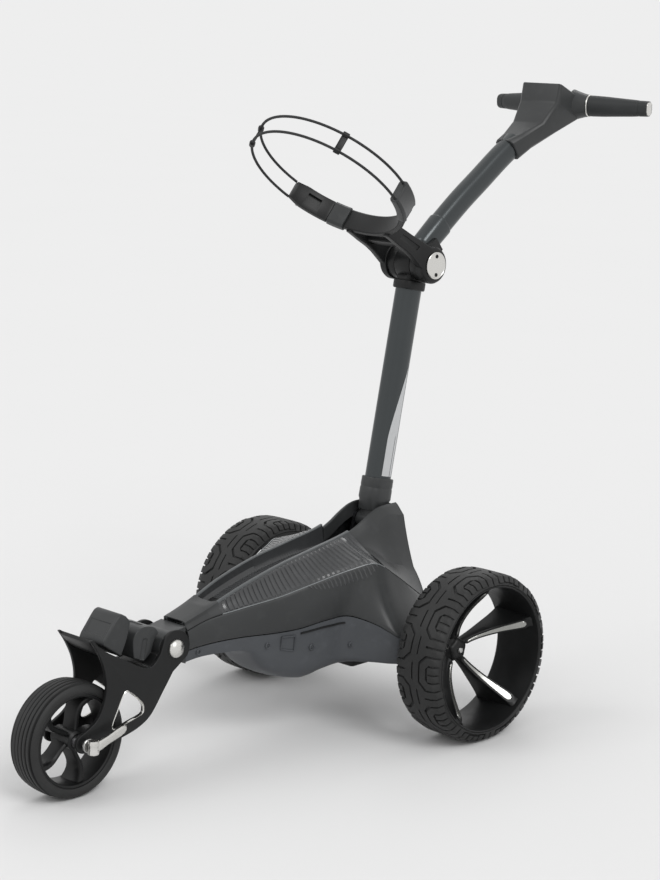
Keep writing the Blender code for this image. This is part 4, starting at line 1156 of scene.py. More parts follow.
def build_lower_casing(sizes):
    """The blue-grey lower casing, with its ribs, bosses and hatch, and a black strip painted as the shade of a slot.
    """
    def flipped(y):
        return mirrored_outline(casing_outline)(y)[::-1]

    casing = wall_along("casing_shell", spread(NOSE_Y, BODY_END, 70), flipped, 0.0022)
    cut(casing, cylinder("axle_bore", (-0.25, 0.0, REAR_HUB.z), (0.25, 0.0, REAR_HUB.z), 0.0235, 48))
    in_place_of(casing, "lower_casing", smooth=30.0)
    for name, side in SIDES:
        pieces = []
        for y, height, radius in ((-0.4150, 0.55, 0.0048), (-0.2860, 0.30, 0.0052), (-0.2060, 0.30, 0.0055),
                                  (-0.1400, 0.30, 0.0050)):
            seam = mark(SEAM, y)
            low = Vector((seam.x - 0.0070, eased(UNDER, y)[0]))
            place = low.lerp(seam, height)
            centre = Vector((place.x, y, place.y))
            boss = turned("boss", [(0.0, -0.0020), (radius, -0.0020), (radius, 0.0008), (radius - 0.0008, 0.0016),
                                   (radius * 0.62, 0.0016), (radius * 0.56, -0.0004), (radius * 0.30, -0.0004),
                                   (radius * 0.26, 0.0004), (0.0, 0.0004)], centre, steps=32)
            pieces.append(boss)
        rib = []
        for y in (-0.262, -0.238):
            seam = mark(SEAM, y)
            low = Vector((seam.x - 0.0070, eased(UNDER, y)[0]))
            rib.append((y, seam.lerp(low, 0.22), seam.lerp(low, 0.80)))
        frame_bar = 0.0022
        (y0, top0, low0), (y1, top1, low1) = rib
        corners = [Vector((top0.x, y0, top0.y)), Vector((top1.x, y1, top1.y)),
                   Vector((low1.x, y1, low1.y)), Vector((low0.x, y0, low0.y))]
        for start, end in zip(corners, corners[1:] + corners[:1]):
            along = (end - start).normalized()
            aside = X.cross(along).normalized()
            section = []
            for centre in (start, end):
                section.append([centre + aside * a * frame_bar / 2.0 + X * b for a, b in
                                ((-1.0, -0.0010), (-0.8, 0.0014), (0.8, 0.0014), (1.0, -0.0010))])
            pieces.append(loft("rib", section))
        # A thin black strip below the seam: painted shade standing in for the slot's dark gap.
        slot = []
        for y in spread(-0.228, -0.150, 24):
            seam = mark(SEAM, y)
            low = Vector((seam.x - 0.0070, eased(UNDER, y)[0]))
            place = seam.lerp(low, 0.17)
            slot.append([Vector((place.x + across, y, place.y + up))
                         for across, up in ((-0.0010, -0.0016), (0.0007, -0.0012),
                                            (0.0007, 0.0012), (-0.0010, 0.0016))])
        dark = loft(f"{name}_casing_slot", slot)
        details = joined(f"{name}_casing_ribs", pieces)
        if side < 0:
            dark = mirrored_piece(dark)
            details = mirrored_piece(details)
        finished(details, "chassis", FINISH["casing_plastic"])
        finished(dark, "chassis", FINISH["black_plastic"])


def mirrored_piece(piece):
    """The piece itself turned into its mirror image."""
    piece.data.transform(MIRROR)
    piece.data.flip_normals()
    return piece


COWL_START = -0.0770
COWL_END = 0.0475
# The cowl's lines: the flat top's inner edge, its outer edge, the foot of the chamfer, the crease
COWL_TOP = [(-0.092, 0.0262, 0.3170), (-0.058, 0.0285, 0.3310), (-0.034, 0.0300, 0.3440), (-0.010, 0.0300, 0.3545),
            (0.010, 0.0290, 0.3572), (0.048, 0.0240, 0.3560)]
COWL_BAND = [(-0.092, 0.0300, 0.3165), (-0.058, 0.0325, 0.3300), (-0.034, 0.0345, 0.3420), (-0.010, 0.0350, 0.3520),
             (0.010, 0.0345, 0.3545), (0.048, 0.0300, 0.3525)]
COWL_FOOT = [(-0.092, 0.0400, 0.3060), (-0.058, 0.0415, 0.3190), (-0.021, 0.0430, 0.3320), (0.010, 0.0440, 0.3420),
             (0.048, 0.0450, 0.3360)]
COWL_CREASE = [(-0.092, 0.0700, 0.3005), (-0.070, 0.0740, 0.2990), (-0.045, 0.0740, 0.2860), (-0.020, 0.0730, 0.2700),
               (0.020, 0.0720, 0.2560), (0.048, 0.0700, 0.2480)]


def cowl_outline(y):
    """The rear cowl's section on one side, from the mast's slot over the hump to the side panel."""
    top = mark(COWL_TOP, y)
    band = mark(COWL_BAND, y)
    foot = mark(COWL_FOOT, y)
    crease = mark(COWL_CREASE, y)
    edge = mark(EDGE, y)
    across = (edge - crease).normalized()
    slot = Vector((top.x - 0.0012, top.y - 0.0260))
    start = Vector((top.x - 0.0006, top.y - 0.0022))
    points = [slot, start, top + Vector((0.0010, -0.0003)), band]
    points += [band.lerp(foot, 0.12), band.lerp(foot, 0.88)]
    points += curve_through(foot, foot.lerp(crease, 0.5) + Vector((-0.0030, -0.0040)), crease, 5)
    points += curve_through(crease, crease.lerp(edge, 0.5) + Vector((0.0045, 0.0030)), edge - across * 0.0007, 5)[1:]
    return points


def build_cowl(sizes):
    """The rear cowl: two humps beside the mast's foot and the plate behind them."""
    left = wall_along("cowl_left", spread(COWL_START, COWL_END - 0.0015, 34), cowl_outline, 0.0022)
    outline = [Vector((p.x, COWL_END - 0.0030, p.y)) for p in cowl_outline(COWL_END - 0.0015)]
    low = mark(SEAM, BODY_END)
    outline.append(Vector((low.x, COWL_END - 0.0030, low.y)))
    outline += [Vector((low.x - 0.0070, COWL_END - 0.0030, eased(UNDER, BODY_END)[0]))]
    outline[0] = Vector((outline[1].x, COWL_END - 0.0030, outline[1].z - 0.0260))
    whole = outline + [Vector((-p.x, p.y, p.z)) for p in outline[::-1]]
    back = plate("cowl_back", whole, (0.0, 0.0030, 0.0))
    with Editing(back) as work:
        work.pick("faces", lambda f: f.normal.y > 0.9 and f.calc_area() > 1e-3)
        bpy.ops.mesh.inset(thickness=0.0040)
        bpy.ops.transform.translate(value=(0.0, -0.0012, 0.0))
        work.close()
    right = copied(left, MIRROR)
    in_place_of(joined("rear_cowl_shell", [left, right, back]), "rear_cowl", smooth=28.0)


def build_nose(sizes):
    """The cast nose round the front pivot, with the pivot's bore."""
    pivot = (FRONT_PIVOT.y, FRONT_PIVOT.z)
    outline = arc(pivot, 0.0240, 75.0, 285.0, 28) + [(NOSE_Y - 0.0015, 0.1700), (NOSE_Y - 0.0015, 0.2330)]
    nose = plate("nose", on_side(-0.0300, outline), (0.0600, 0.0, 0.0))
    nose = rounded(nose, 0.0018, 3, 50.0)
    cut(nose, cylinder("pivot_bore", (-0.04, *pivot), (0.04, *pivot), 0.0066, 24))
    in_place_of(nose, "nose_casting")


def build_drive_cover(sizes):
    """The drive's lower cover, with a chamfered rim and a stiffening pad."""
    low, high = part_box("drive_cover")
    centre = (low + high) / 2.0 - Vector((0.0, AXLE_Y, 0.0))
    cover = cube("cover", centre, tuple(high - low))
    with Editing(cover) as work:
        work.pick("edges", lambda e: abs((e.verts[0].co - e.verts[1].co).z) > 0.01)
        bpy.ops.mesh.bevel(offset=0.0090, segments=4, affect="EDGES")
        work.pick("faces", lambda f: f.normal.z < -0.9)
        bpy.ops.mesh.bevel(offset=0.0060, segments=3, affect="EDGES")
        work.pick("faces", lambda f: f.normal.z < -0.95 and f.calc_area() > 1e-3)
        bpy.ops.mesh.inset(thickness=0.0060)
        bpy.ops.transform.translate(value=(0.0, 0.0, 0.0012))
    in_place_of(cover, "drive_cover")


# Front bracket

def smooth_line(points, steps=6, closed=False):
    """A smooth curve through 2-D points."""
    count = len(points)
    found = []
    for index in range(count if closed else count - 1):
        if closed:
            a, b, c, d = (points[(index + k) % count] for k in (-1, 0, 1, 2))
        else:
            a, b, c, d = (points[min(max(index + k, 0), count - 1)] for k in (-1, 0, 1, 2))
        for step in range(steps):
            t = step / steps
            found.append(tuple(
                0.5 * (2.0 * q + (r - p) * t + (2.0 * p - 5.0 * q + 4.0 * r - s) * t * t
                       + (3.0 * q - p - 3.0 * r + s) * t ** 3)
                for p, q, r, s in zip(a, b, c, d)))
    return found if closed else found + [tuple(points[-1])]


WINDOW = [(-0.5784, 0.1560), (-0.5670, 0.1530), (-0.5450, 0.1330), (-0.5410, 0.1210), (-0.5460, 0.1130),
          (-0.5720, 0.1070), (-0.5960, 0.1010), (-0.6040, 0.1080), (-0.5920, 0.1320)]


def fork_outline():
    """The side plate's outline: pivot eye, saddle edge, curved nose and axle boss."""
    eye = arc((FRONT_PIVOT.y, FRONT_PIVOT.z), 0.0300, -35.0, 130.0, 22)
    cradle = smooth_line([(-0.5050, 0.2020), (-0.5160, 0.1900), (-0.5270, 0.1850), (-0.5440, 0.1900),
                          (-0.5680, 0.2030), (-0.6170, 0.2310), (-0.6400, 0.2530)], 5)
    front = smooth_line([(-0.6440, 0.2520), (-0.6310, 0.2320), (-0.6190, 0.2050), (-0.6140, 0.1750),
                         (-0.6190, 0.1480), (-0.6330, 0.1240), (-0.6560, 0.1100)], 6)
    boss = arc((FRONT_HUB.y, FRONT_HUB.z), 0.0155, 110.0, 290.0, 18)
    under = smooth_line([(-0.6200, 0.0790), (-0.5850, 0.0840), (-0.5500, 0.0930), (-0.5250, 0.1080),
                         (-0.5000, 0.1400), (-0.4790, 0.1680)], 6)
    return eye + cradle + front + boss + under


def build_fork_plates(sizes):
    """Both side plates with their windows and the windows' bright chamfers."""
    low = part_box("left_fork_plate")[0].x
    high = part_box("left_fork_plate")[1].x
    outline = fork_outline()
    window = smooth_line(WINDOW, 6, closed=True)
    left = plate("plate", on_side(low, outline), (high - low, 0.0, 0.0))
    rounded(left, 0.0013, 3, 40.0)
    cut(left, plate("window", on_side(low - 0.01, window), (high - low + 0.02, 0.0, 0.0)))
    cut(left, cylinder("axle_hole", (low - 0.01, FRONT_HUB.y, FRONT_HUB.z), (high + 0.01, FRONT_HUB.y, FRONT_HUB.z),
                       0.0056, 24))
    cut(left, cylinder("pivot_hole", (low - 0.01, FRONT_PIVOT.y, FRONT_PIVOT.z),
                       (high + 0.01, FRONT_PIVOT.y, FRONT_PIVOT.z), 0.0066, 24))
    middle_of = Vector((sum(y for y, z in window) / len(window), sum(z for y, z in window) / len(window)))
    rings = []
    for y, z in window:
        inwards = (middle_of - Vector((y, z))).normalized()
        point = Vector((high, y, z))
        step = Vector((0.0, inwards.x, inwards.y))
        rings.append([point - step * 0.0014 + X * 0.0001, point - step * 0.0002 + X * 0.0009,
                      point + step * 0.0012 - X * 0.0010, point + step * 0.0010 - X * 0.0040,
                      point + step * 0.0002 - X * 0.0040, point + step * 0.0001 - X * 0.0004])
    bright = loft("left_window_edge", rings, closed=True)
    right = copied(left, MIRROR, "right_bracket_plate")
    right_bright = copied(bright, MIRROR, "right_window_edge")
    left.name = "left_bracket_plate"
    in_place_of(left, "left_fork_plate")
    in_place_of(right, "right_fork_plate")
    finished(bright, "front_bracket", FINISH["satin_metal"])
    finished(right_bright, "front_bracket", FINISH["satin_metal"])
    for name, side in SIDES:
        x = high
        dome = [(0.0, x + 0.0003), (0.0150, x + 0.0003), (0.0152, x + 0.0018), (0.0142, x + 0.0042),
                (0.0120, x + 0.0064), (0.0085, x + 0.0084), (0.0045, x + 0.0096), (0.0, x + 0.0100)]
        cap = turned(f"{name}_domed_cap", dome, FRONT_PIVOT, steps=64)
        if side < 0:
            mirrored_piece(cap)
        in_place_of(cap, f"{name}_pivot_cap")


def build_cradle(sizes):
    """The bag cradle's visor between the plates, the rest block and the latch housing."""
    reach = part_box("bag_cradle")[1].x
    top = smooth_line([(-0.5080, 0.2010), (-0.5160, 0.1890), (-0.5270, 0.1845), (-0.5440, 0.1895),
                       (-0.5680, 0.2025), (-0.6170, 0.2305), (-0.6400, 0.2525)], 4)
    below = smooth_line([(-0.6425, 0.2470), (-0.6190, 0.2235), (-0.5690, 0.1965), (-0.5440, 0.1835),
                         (-0.5270, 0.1790), (-0.5140, 0.1835), (-0.5060, 0.1945)], 4)
    visor = plate("visor", on_side(-reach, top + below), (2.0 * reach, 0.0, 0.0))
    rounded(visor, 0.0010, 2, 40.0)
    in_place_of(visor, "bag_cradle")
    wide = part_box("bag_stop_block")[1].x
    side = [(-0.6115, 0.2355), (-0.6075, 0.2440), (-0.5870, 0.2690), (-0.5800, 0.2765), (-0.5730, 0.2790),
            (-0.5640, 0.2735), (-0.5560, 0.2650), (-0.5585, 0.2500), (-0.5640, 0.2340), (-0.5760, 0.2100)]
    block = plate("block", on_side(-wide, side), (2.0 * wide, 0.0, 0.0))
    rounded(block, 0.0034, 4, 20.0)
    with Editing(block) as work:
        work.pick("faces", lambda f: f.normal.y < -0.5 and f.normal.z > 0.3 and f.calc_area() > 8e-4)
        bpy.ops.mesh.inset(thickness=0.0040)
        bpy.ops.mesh.inset(thickness=0.0012, depth=-0.0010)
    steps = [block]
    for side_sign in (1.0, -1.0):
        rib = plate("step", on_side(side_sign * (wide - 0.0095), [(-0.5900, 0.2560), (-0.5740, 0.2740),
                                                               (-0.5620, 0.2700), (-0.5700, 0.2480)]),
                    (side_sign * 0.0075, 0.0, 0.0))
        rib.data.transform(Matrix.Translation((0.0, -0.0012, 0.0018)))
        steps.append(rounded(rib, 0.0012, 2))
    in_place_of(joined("rest_block", steps), "bag_stop_block")
    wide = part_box("latch_housing")[1].x
    side = smooth_line([(-0.5480, 0.2010), (-0.5490, 0.2180), (-0.5480, 0.2330), (-0.5400, 0.2440),
                        (-0.5250, 0.2480), (-0.5060, 0.2440), (-0.4965, 0.2330)], 5)
    side += [(-0.5050, 0.2240), (-0.5100, 0.2120), (-0.5130, 0.2030), (-0.5270, 0.1920)]
    housing = plate("housing", on_side(-wide, side), (2.0 * wide, 0.0, 0.0))
    rounded(housing, 0.0022, 3, 30.0)
    cut(housing, rounded(cube("slot_cutter", (wide + 0.003, -0.5285, 0.2120), (0.0100, 0.0110, 0.0360),
                              math.radians(-12.0)), 0.0030, 3))
    cut(housing, rounded(cube("slot_cutter", (-wide - 0.003, -0.5285, 0.2120), (0.0100, 0.0110, 0.0360),
                              math.radians(-12.0)), 0.0030, 3))
    cut(housing, rounded(cube("slot_cutter", (0.0, -0.5220, 0.2485), (0.0300, 0.0110, 0.0060), 0.0), 0.0020, 2))
    in_place_of(housing, "latch_housing")


def build_axle_end(sizes):
    """The cam lever and collar on the front axle's left end, and the cap on its right end."""
    centre = Vector((0.0640, FRONT_HUB.y, FRONT_HUB.z))
    cam = [(0.0, -0.0112), (0.0070, -0.0112), (0.0086, -0.0100), (0.0090, -0.0060), (0.0080, -0.0035),
           (0.0080, 0.0035), (0.0090, 0.0060), (0.0086, 0.0100), (0.0070, 0.0112), (0.0, 0.0112)]
    barrel = turned("cam", cam, centre, axis=UP, steps=48)
    rings = []
    arm = [(-0.6640, 0.0920, 0.0645, 0.0110, 0.0150), (-0.6560, 0.0925, 0.0645, 0.0120, 0.0170),
           (-0.6450, 0.0940, 0.0640, 0.0095, 0.0155), (-0.6300, 0.0970, 0.0625, 0.0060, 0.0135),
           (-0.6150, 0.1000, 0.0602, 0.0048, 0.0145), (-0.6020, 0.1025, 0.0585, 0.0044, 0.0150),
           (-0.5930, 0.1045, 0.0572, 0.0040, 0.0130), (-0.5895, 0.1052, 0.0570, 0.0028, 0.0070)]
    for y, z, x, width, height in arm:
        rings.append(oval((x, y, z), X, UP, width, height, 24, 3.2))
    lever = joined("cam_lever", [loft("arm", rings), barrel])
    in_place_of(lever, "quick_release_lever")
    nut = turned("axle_collar", [(0.0056, 0.0500), (0.0105, 0.0500), (0.0110, 0.0508), (0.0110, 0.0538),
                                 (0.0100, 0.0546), (0.0056, 0.0546)], FRONT_HUB, steps=48)
    finished(nut, "front_bracket", FINISH["pin_metal"])
    end = turned("axle_end", [(0.0, -0.0580), (0.0070, -0.0580), (0.0095, -0.0560), (0.0100, -0.0530),
                              (0.0100, -0.0502), (0.0056, -0.0502), (0.0056, -0.0520), (0.0, -0.0520)],
                 FRONT_HUB, steps=48)
    finished(end, "front_bracket", FINISH["pin_metal"])


# Mast and hinge

def round_mast(name, stations, squareness=3.0, steps=48):
    """A lofted body round the mast's line, from (distance, width, depth) stations."""
    side = X.cross(MAST_LINE)
    return loft(name, [oval(MAST_PIVOT + MAST_LINE * d, X, side, w, t, steps, squareness)
                       for d, w, t in stations])


def build_mast(sizes):
    """The mast's foot, its oval tube, the clamp at its top and the pale strip."""
    foot = round_mast("foot", [(0.0180, 0.0420, 0.0455), (0.0190, 0.0434, 0.0470),
                               (0.0350, 0.0440, 0.0500), (0.0395, 0.0462, 0.0545),
                               (0.0560, 0.0458, 0.0540), (0.0575, 0.0446, 0.0528), (0.0590, 0.0446, 0.0528),
                               (0.0605, 0.0456, 0.0536), (0.0735, 0.0452, 0.0532), (0.0750, 0.0446, 0.0524),
                               (0.0755, 0.0436, 0.0512)])
    foot = fused(foot, round_mast("neck", [(0.002, 0.0458, 0.0278), (0.040, 0.0440, 0.0300)]))
    foot = fused(foot, cylinder("eye", (-0.0232, *MAST_PIVOT.yz), (0.0232, *MAST_PIVOT.yz), 0.0150, 48))
    side = X.cross(MAST_LINE)
    bore = round_mast("bore", [(0.0446, 0.0388, 0.0478), (0.0800, 0.0388, 0.0478)], 2.5)
    cut(foot, bore)
    cut(foot, cylinder("pin_bore", (-0.05, *MAST_PIVOT.yz), (0.05, *MAST_PIVOT.yz), 0.0056, 24))
    in_place_of(foot, "mast_foot")
    start = 0.0450
    end = 0.4135
    outer = round_mast("tube", [(start, 0.0380, 0.0470), (end, 0.0380, 0.0470)], 2.5, 72)
    inner = round_mast("tube_bore", [(start - 0.01, 0.0340, 0.0430), (end + 0.01, 0.0340, 0.0430)], 2.5, 72)
    in_place_of(cut(outer, inner), "mast_tube")
    head = round_mast("clamp", [(0.4050, 0.0425, 0.0510), (0.4062, 0.0445, 0.0530), (0.4080, 0.0454, 0.0540),
                                (0.4178, 0.0454, 0.0540), (0.4195, 0.0446, 0.0530), (0.4205, 0.0425, 0.0510)])
    cut(head, round_mast("clamp_bore", [(0.4000, 0.0388, 0.0478), (end + 0.0005, 0.0388, 0.0478)], 2.5))
    head = fused(head, round_mast("neck", [(0.4180, 0.0335, 0.0440), (0.4240, 0.0345, 0.0455),
                                           (0.4300, 0.0335, 0.0400)], 4.0))
    head = fused(head, cylinder("knuckle", (-0.0172, *HINGE.yz), (0.0172, *HINGE.yz), 0.0290, 56))
    cut(head, cylinder("bolt_bore", (-0.05, *HINGE.yz), (0.05, *HINGE.yz), 0.0066, 24))
    in_place_of(rounded(head, 0.0006, 2, 40.0), "mast_head")
    strip = []
    for t in spread(0.0, 1.0, 24):
        distance = 0.0800 + 0.1900 * t
        taper = 1.0 - max(0.0, (t - 0.35) / 0.65) ** 1.3
        low = -0.0125
        high = low + 0.0235 * max(taper, 0.05)
        ring = []
        for share, lift in ((0.0, 0.0001), (0.5, 0.0001), (1.0, 0.0001), (1.0, 0.0005), (0.5, 0.0005), (0.0, 0.0005)):
            depth = low + (high - low) * share
            flat = 0.0190 * (1.0 - (abs(depth) / 0.0235) ** 2.5) ** 0.4
            ring.append(MAST_PIVOT + MAST_LINE * distance + X * (flat + lift) + side * depth)
        strip.append(ring)
    left = loft("left_mast_strip", strip)
    right = copied(left, MIRROR, "right_mast_strip")
    finished(left, "mast", FINISH["silver_sticker"])
    finished(right, "mast", FINISH["silver_sticker"])


def build_hinge_discs(sizes):
    """The silver discs on the hinge, each with two dark screws and a fine rim."""
    for name, side in SIDES:
        disc = [(0.0, 0.0529), (0.0222, 0.0529), (0.0232, 0.0536), (0.0232, 0.0547), (0.0224, 0.0556),
                (0.0212, 0.0556), (0.0206, 0.0551), (0.0, 0.0551)]
        made = turned(f"{name}_silver_disc", disc, HINGE, steps=96)
        screws = []
        for turn in (0.05, 0.05 + math.pi):
            place = HINGE + Vector((0.0, math.sin(turn), math.cos(turn))) * 0.0158
            screws.append(turned("screw", [(0.0, 0.0549), (0.0034, 0.0549), (0.0034, 0.0556), (0.0028, 0.0561),
                                           (0.0016, 0.0561), (0.0014, 0.0553), (0.0, 0.0553)], place, steps=24))
        pair = joined(f"{name}_disc_screws", screws)
        if side < 0:
            mirrored_piece(made)
            mirrored_piece(pair)
        in_place_of(made, f"{name}_hinge_disc")
        finished(pair, "mast", FINISH["black_plastic"])


# Upper arm and handle

ARM_LINE = [(0.1560, 0.8120), (0.1763, 0.8278), (0.2275, 0.8660), (0.2795, 0.9010), (0.3284, 0.9344), (0.3700, 0.9600)]


def arm_place(at):
    """A point on the arm's line at a share of its length in spans, and its direction."""
    line = smooth_line(ARM_LINE, 8)
    index = min(max(int(round(at * (len(line) - 1))), 0), len(line) - 1)
    before = line[max(index - 1, 0)]
    after = line[min(index + 1, len(line) - 1)]
    return Vector((0.0, *line[index])), Vector((0.0, after[0] - before[0], after[1] - before[1])).normalized()


def arm_tube(name, width, depth, overrun=0.0):
    rings = []
    for at in spread(0.0, 1.0, 40):
        centre, direction = arm_place(at)
        if at in (0.0, 1.0):
            centre = centre + direction * (overrun if at else 0.0008 - overrun)
        rings.append(oval(centre, X, X.cross(direction), width, depth, 64, 2.5))
    return loft(name, rings)


def build_arm(sizes):
    """The bent upper tube and the hinge's collar at its foot."""
    in_place_of(cut(arm_tube("bent_tube", 0.0360, 0.0410), arm_tube("tube_bore", 0.0320, 0.0370, 0.02)), "arm_tube")
    start = Vector((0.0, *ARM_LINE[0]))
    direction = Vector((0.0, ARM_LINE[1][0] - ARM_LINE[0][0], ARM_LINE[1][1] - ARM_LINE[0][1])).normalized()
    side = X.cross(direction)

    def section(distance, width, depth, squareness=3.0):
        return oval(start + direction * distance, X, side, width, depth, 48, squareness)

    sleeve = loft("sleeve", [section(*s) for s in (
        (-0.0350, 0.0345, 0.0380, 2.6), (-0.0340, 0.0358, 0.0392, 2.6), (-0.0300, 0.0372, 0.0416, 2.6),
        (0.0240, 0.0388, 0.0440, 2.6), (0.0258, 0.0386, 0.0438, 2.6), (0.0265, 0.0378, 0.0430, 2.6))])
    cut(sleeve, loft("socket", [section(0.0002, 0.0368, 0.0418, 2.5), section(0.0400, 0.0368, 0.0418, 2.5)]))
    in_place_of(sleeve, "arm_collar", FINISH["graphite_metal"])
    for name, side_sign in SIDES:
        low = side_sign * 0.0180
        high = side_sign * 0.0345
        cheek = rounded(cylinder("cheek", (low, *HINGE.yz), (high, *HINGE.yz), 0.0290, 64), 0.0012, 2)
        web = []
        for along, depth in ((0.008, 0.040), (0.030, 0.036), (0.052, 0.026)):
            centre = HINGE + direction * along
            lift = side * depth / 2.0
            near = X * side_sign * 0.0186
            far = X * side_sign * (0.0270 - 0.0500 * max(0.0, along - 0.030) * 2.0)
            web.append([centre - lift + near, centre - lift + far, centre + lift + far, centre + lift + near])
        cheek = fused(cheek, loft("web", web))
        cut(cheek, cylinder("bolt_bore", (-0.05, *HINGE.yz), (0.05, *HINGE.yz), 0.0066, 24))
        cheek.name = f"{name}_arm_cheek"
        finished(rounded(cheek, 0.0005, 1, 45.0), "upper_arm", FINISH["black_plastic"])


# The head's sections: front, back, half width at the front, at the back, corner
HEAD = [((0.3395, 0.9665), (0.3630, 0.9310), 0.0214, 0.0214, 0.0070),
        ((0.3640, 0.9765), (0.3955, 0.9500), 0.0260, 0.0250, 0.0070),
        ((0.4050, 0.9960), (0.4500, 0.9765), 0.0380, 0.0350, 0.0060),
        ((0.4340, 1.0320), (0.4970, 0.9985), 0.0454, 0.0450, 0.0050),
        ((0.4418, 1.0654), (0.5450, 1.0180), 0.0454, 0.0420, 0.0040)]
GRIP_INNER = Vector((0.0600, 0.5060, 1.0243))
GRIP_OUTER = Vector((0.1731, 0.5370, 1.0225))


def head_top():
    """The start, the slope and the normal of the head's upper face."""
    front = Vector((0.0, *HEAD[-1][0]))
    back = Vector((0.0, *HEAD[-1][1]))
    down = (back - front).normalized()
    return front, down, X.cross(down).normalized() * (1.0 if X.cross(down).z > 0 else -1.0)


def build_head(sizes):
    """The handle's head, a faceted wedge with a recess underneath and two sockets for the grips."""
    rings = []
    for front, back, front_half, back_half, corner in HEAD:
        near = Vector((0.0, *front))
        far = Vector((0.0, *back))
        step = (far - near).normalized() * corner
        half = [(front_half - corner, near), (front_half, near + step), (back_half, far - step),
                (back_half - corner, far)]
        section = [Vector((x, p.y, p.z)) for x, p in half]
        rings.append(section + [Vector((-p.x, p.y, p.z)) for p in section[::-1]])
    head = loft("head", rings)
    rounded(head, 0.0024, 3, 22.0)
    span = (GRIP_OUTER - GRIP_INNER).normalized()
    for name, side in SIDES:
        inner = Vector((side * GRIP_INNER.x, GRIP_INNER.y, GRIP_INNER.z))
        direction = Vector((side * span.x, span.y, span.z))
        profile = [(0.0, 0.0), (0.0280, 0.0), (0.0262, 0.0050), (0.0240, 0.0120), (0.0218, 0.0200), (0.0203, 0.0262),
                   (0.0200, 0.0290), (0.0192, 0.0295), (0.0, 0.0295)]
        head = fused(head, turned("socket", profile, inner - direction * 0.030, axis=direction, steps=64))
    end, direction = arm_place(1.0)
    before, along = arm_place(0.8)
    socket = [oval(before, X, X.cross(along), 0.0370, 0.0420, 48, 2.5),
              oval(arm_place(0.9)[0], X, X.cross(arm_place(0.9)[1]), 0.0370, 0.0420, 48, 2.5),
              oval(end + direction * 0.0008, X, X.cross(direction), 0.0370, 0.0420, 48, 2.5)]
    cut(head, loft("arm_socket", socket))
    front, down, normal = head_top()
    tilt = math.atan2(down.z, down.y)
    cut(head, rounded(cube("screen_recess", front + down * 0.0280, (0.0640, 0.0360, 0.0050), tilt), 0.0004, 1))
    dial = front + down * 0.0800
    cut(head, cylinder("dial_recess", dial - normal * 0.0060, dial + normal * 0.0100, 0.0168, 64))
    for _, side in SIDES:
        place = dial + X * side * 0.0275 - down * 0.0040
        cut(head, cube("key_recess", place, (0.0140, 0.0240, 0.0090), tilt))
    slot_front = Vector((0.0, 0.4700, 0.9830))
    cut(head, rounded(cube("hand_recess", slot_front, (0.0480, 0.0300, 0.0070),
                           math.radians(27.0)), 0.0016, 2))
    in_place_of(head, "handle_head", smooth=28.0)


def build_controls(sizes):
    """The screen, the knurled dial, its push button and the menu keys."""
    front, down, normal = head_top()
    dial = front + down * 0.0800
    tilt = math.atan2(down.z, down.y)
    screen = cube("screen", front + down * 0.0280 - normal * 0.0008, (0.0630, 0.0350, 0.0024), tilt)
    with Editing(screen) as work:
        work.pick("edges", lambda e: abs((e.verts[0].co - e.verts[1].co).normalized().dot(normal)) > 0.9)
        bpy.ops.mesh.bevel(offset=0.0030, segments=4, affect="EDGES")
        work.pick("faces", lambda f: f.normal.dot(normal) > 0.95)
        bpy.ops.mesh.inset(thickness=0.0022, depth=0.0)
        bpy.ops.mesh.inset(thickness=0.0006, depth=-0.0004)
    in_place_of(screen, "display_screen")
    rings = []
    for along, radius, knurl in ((-0.0055, 0.0152, 0.0), (0.0010, 0.0156, 0.0003), (0.0018, 0.0158, 0.0003),
                                 (0.0036, 0.0152, 0.0003), (0.0040, 0.0144, 0.0), (0.0040, 0.0072, 0.0),
                                 (-0.0055, 0.0072, 0.0)):
        aside = X
        other = normal.cross(X)
        ring_points = []
        for step in range(120):
            angle = math.tau * step / 120.0
            reach = radius + knurl * (1.0 if step % 2 else -1.0)
            ring_points.append(dial + normal * along + aside * reach * math.cos(angle)
                               + other * reach * math.sin(angle))
        rings.append(ring_points)
    in_place_of(loft("knurled_dial", rings, closed=True), "speed_dial", smooth=20.0)
    push = turned("push_button", [(0.0, -0.0030), (0.0062, -0.0030), (0.0065, -0.0024), (0.0065, 0.0036),
                                  (0.0060, 0.0044), (0.0045, 0.0045), (0.0030, 0.0040), (0.0, 0.0038)],
                  dial, axis=normal, steps=48)
    in_place_of(push, "power_button")
    for name, side in SIDES:
        place = dial + X * side * 0.0275 - down * 0.0040 - normal * 0.0002
        key = cube(f"{name}_key", place, (0.0130, 0.0230, 0.0040), tilt)
        rounded(key, 0.0012, 3)
        in_place_of(key, f"{name}_menu_key")


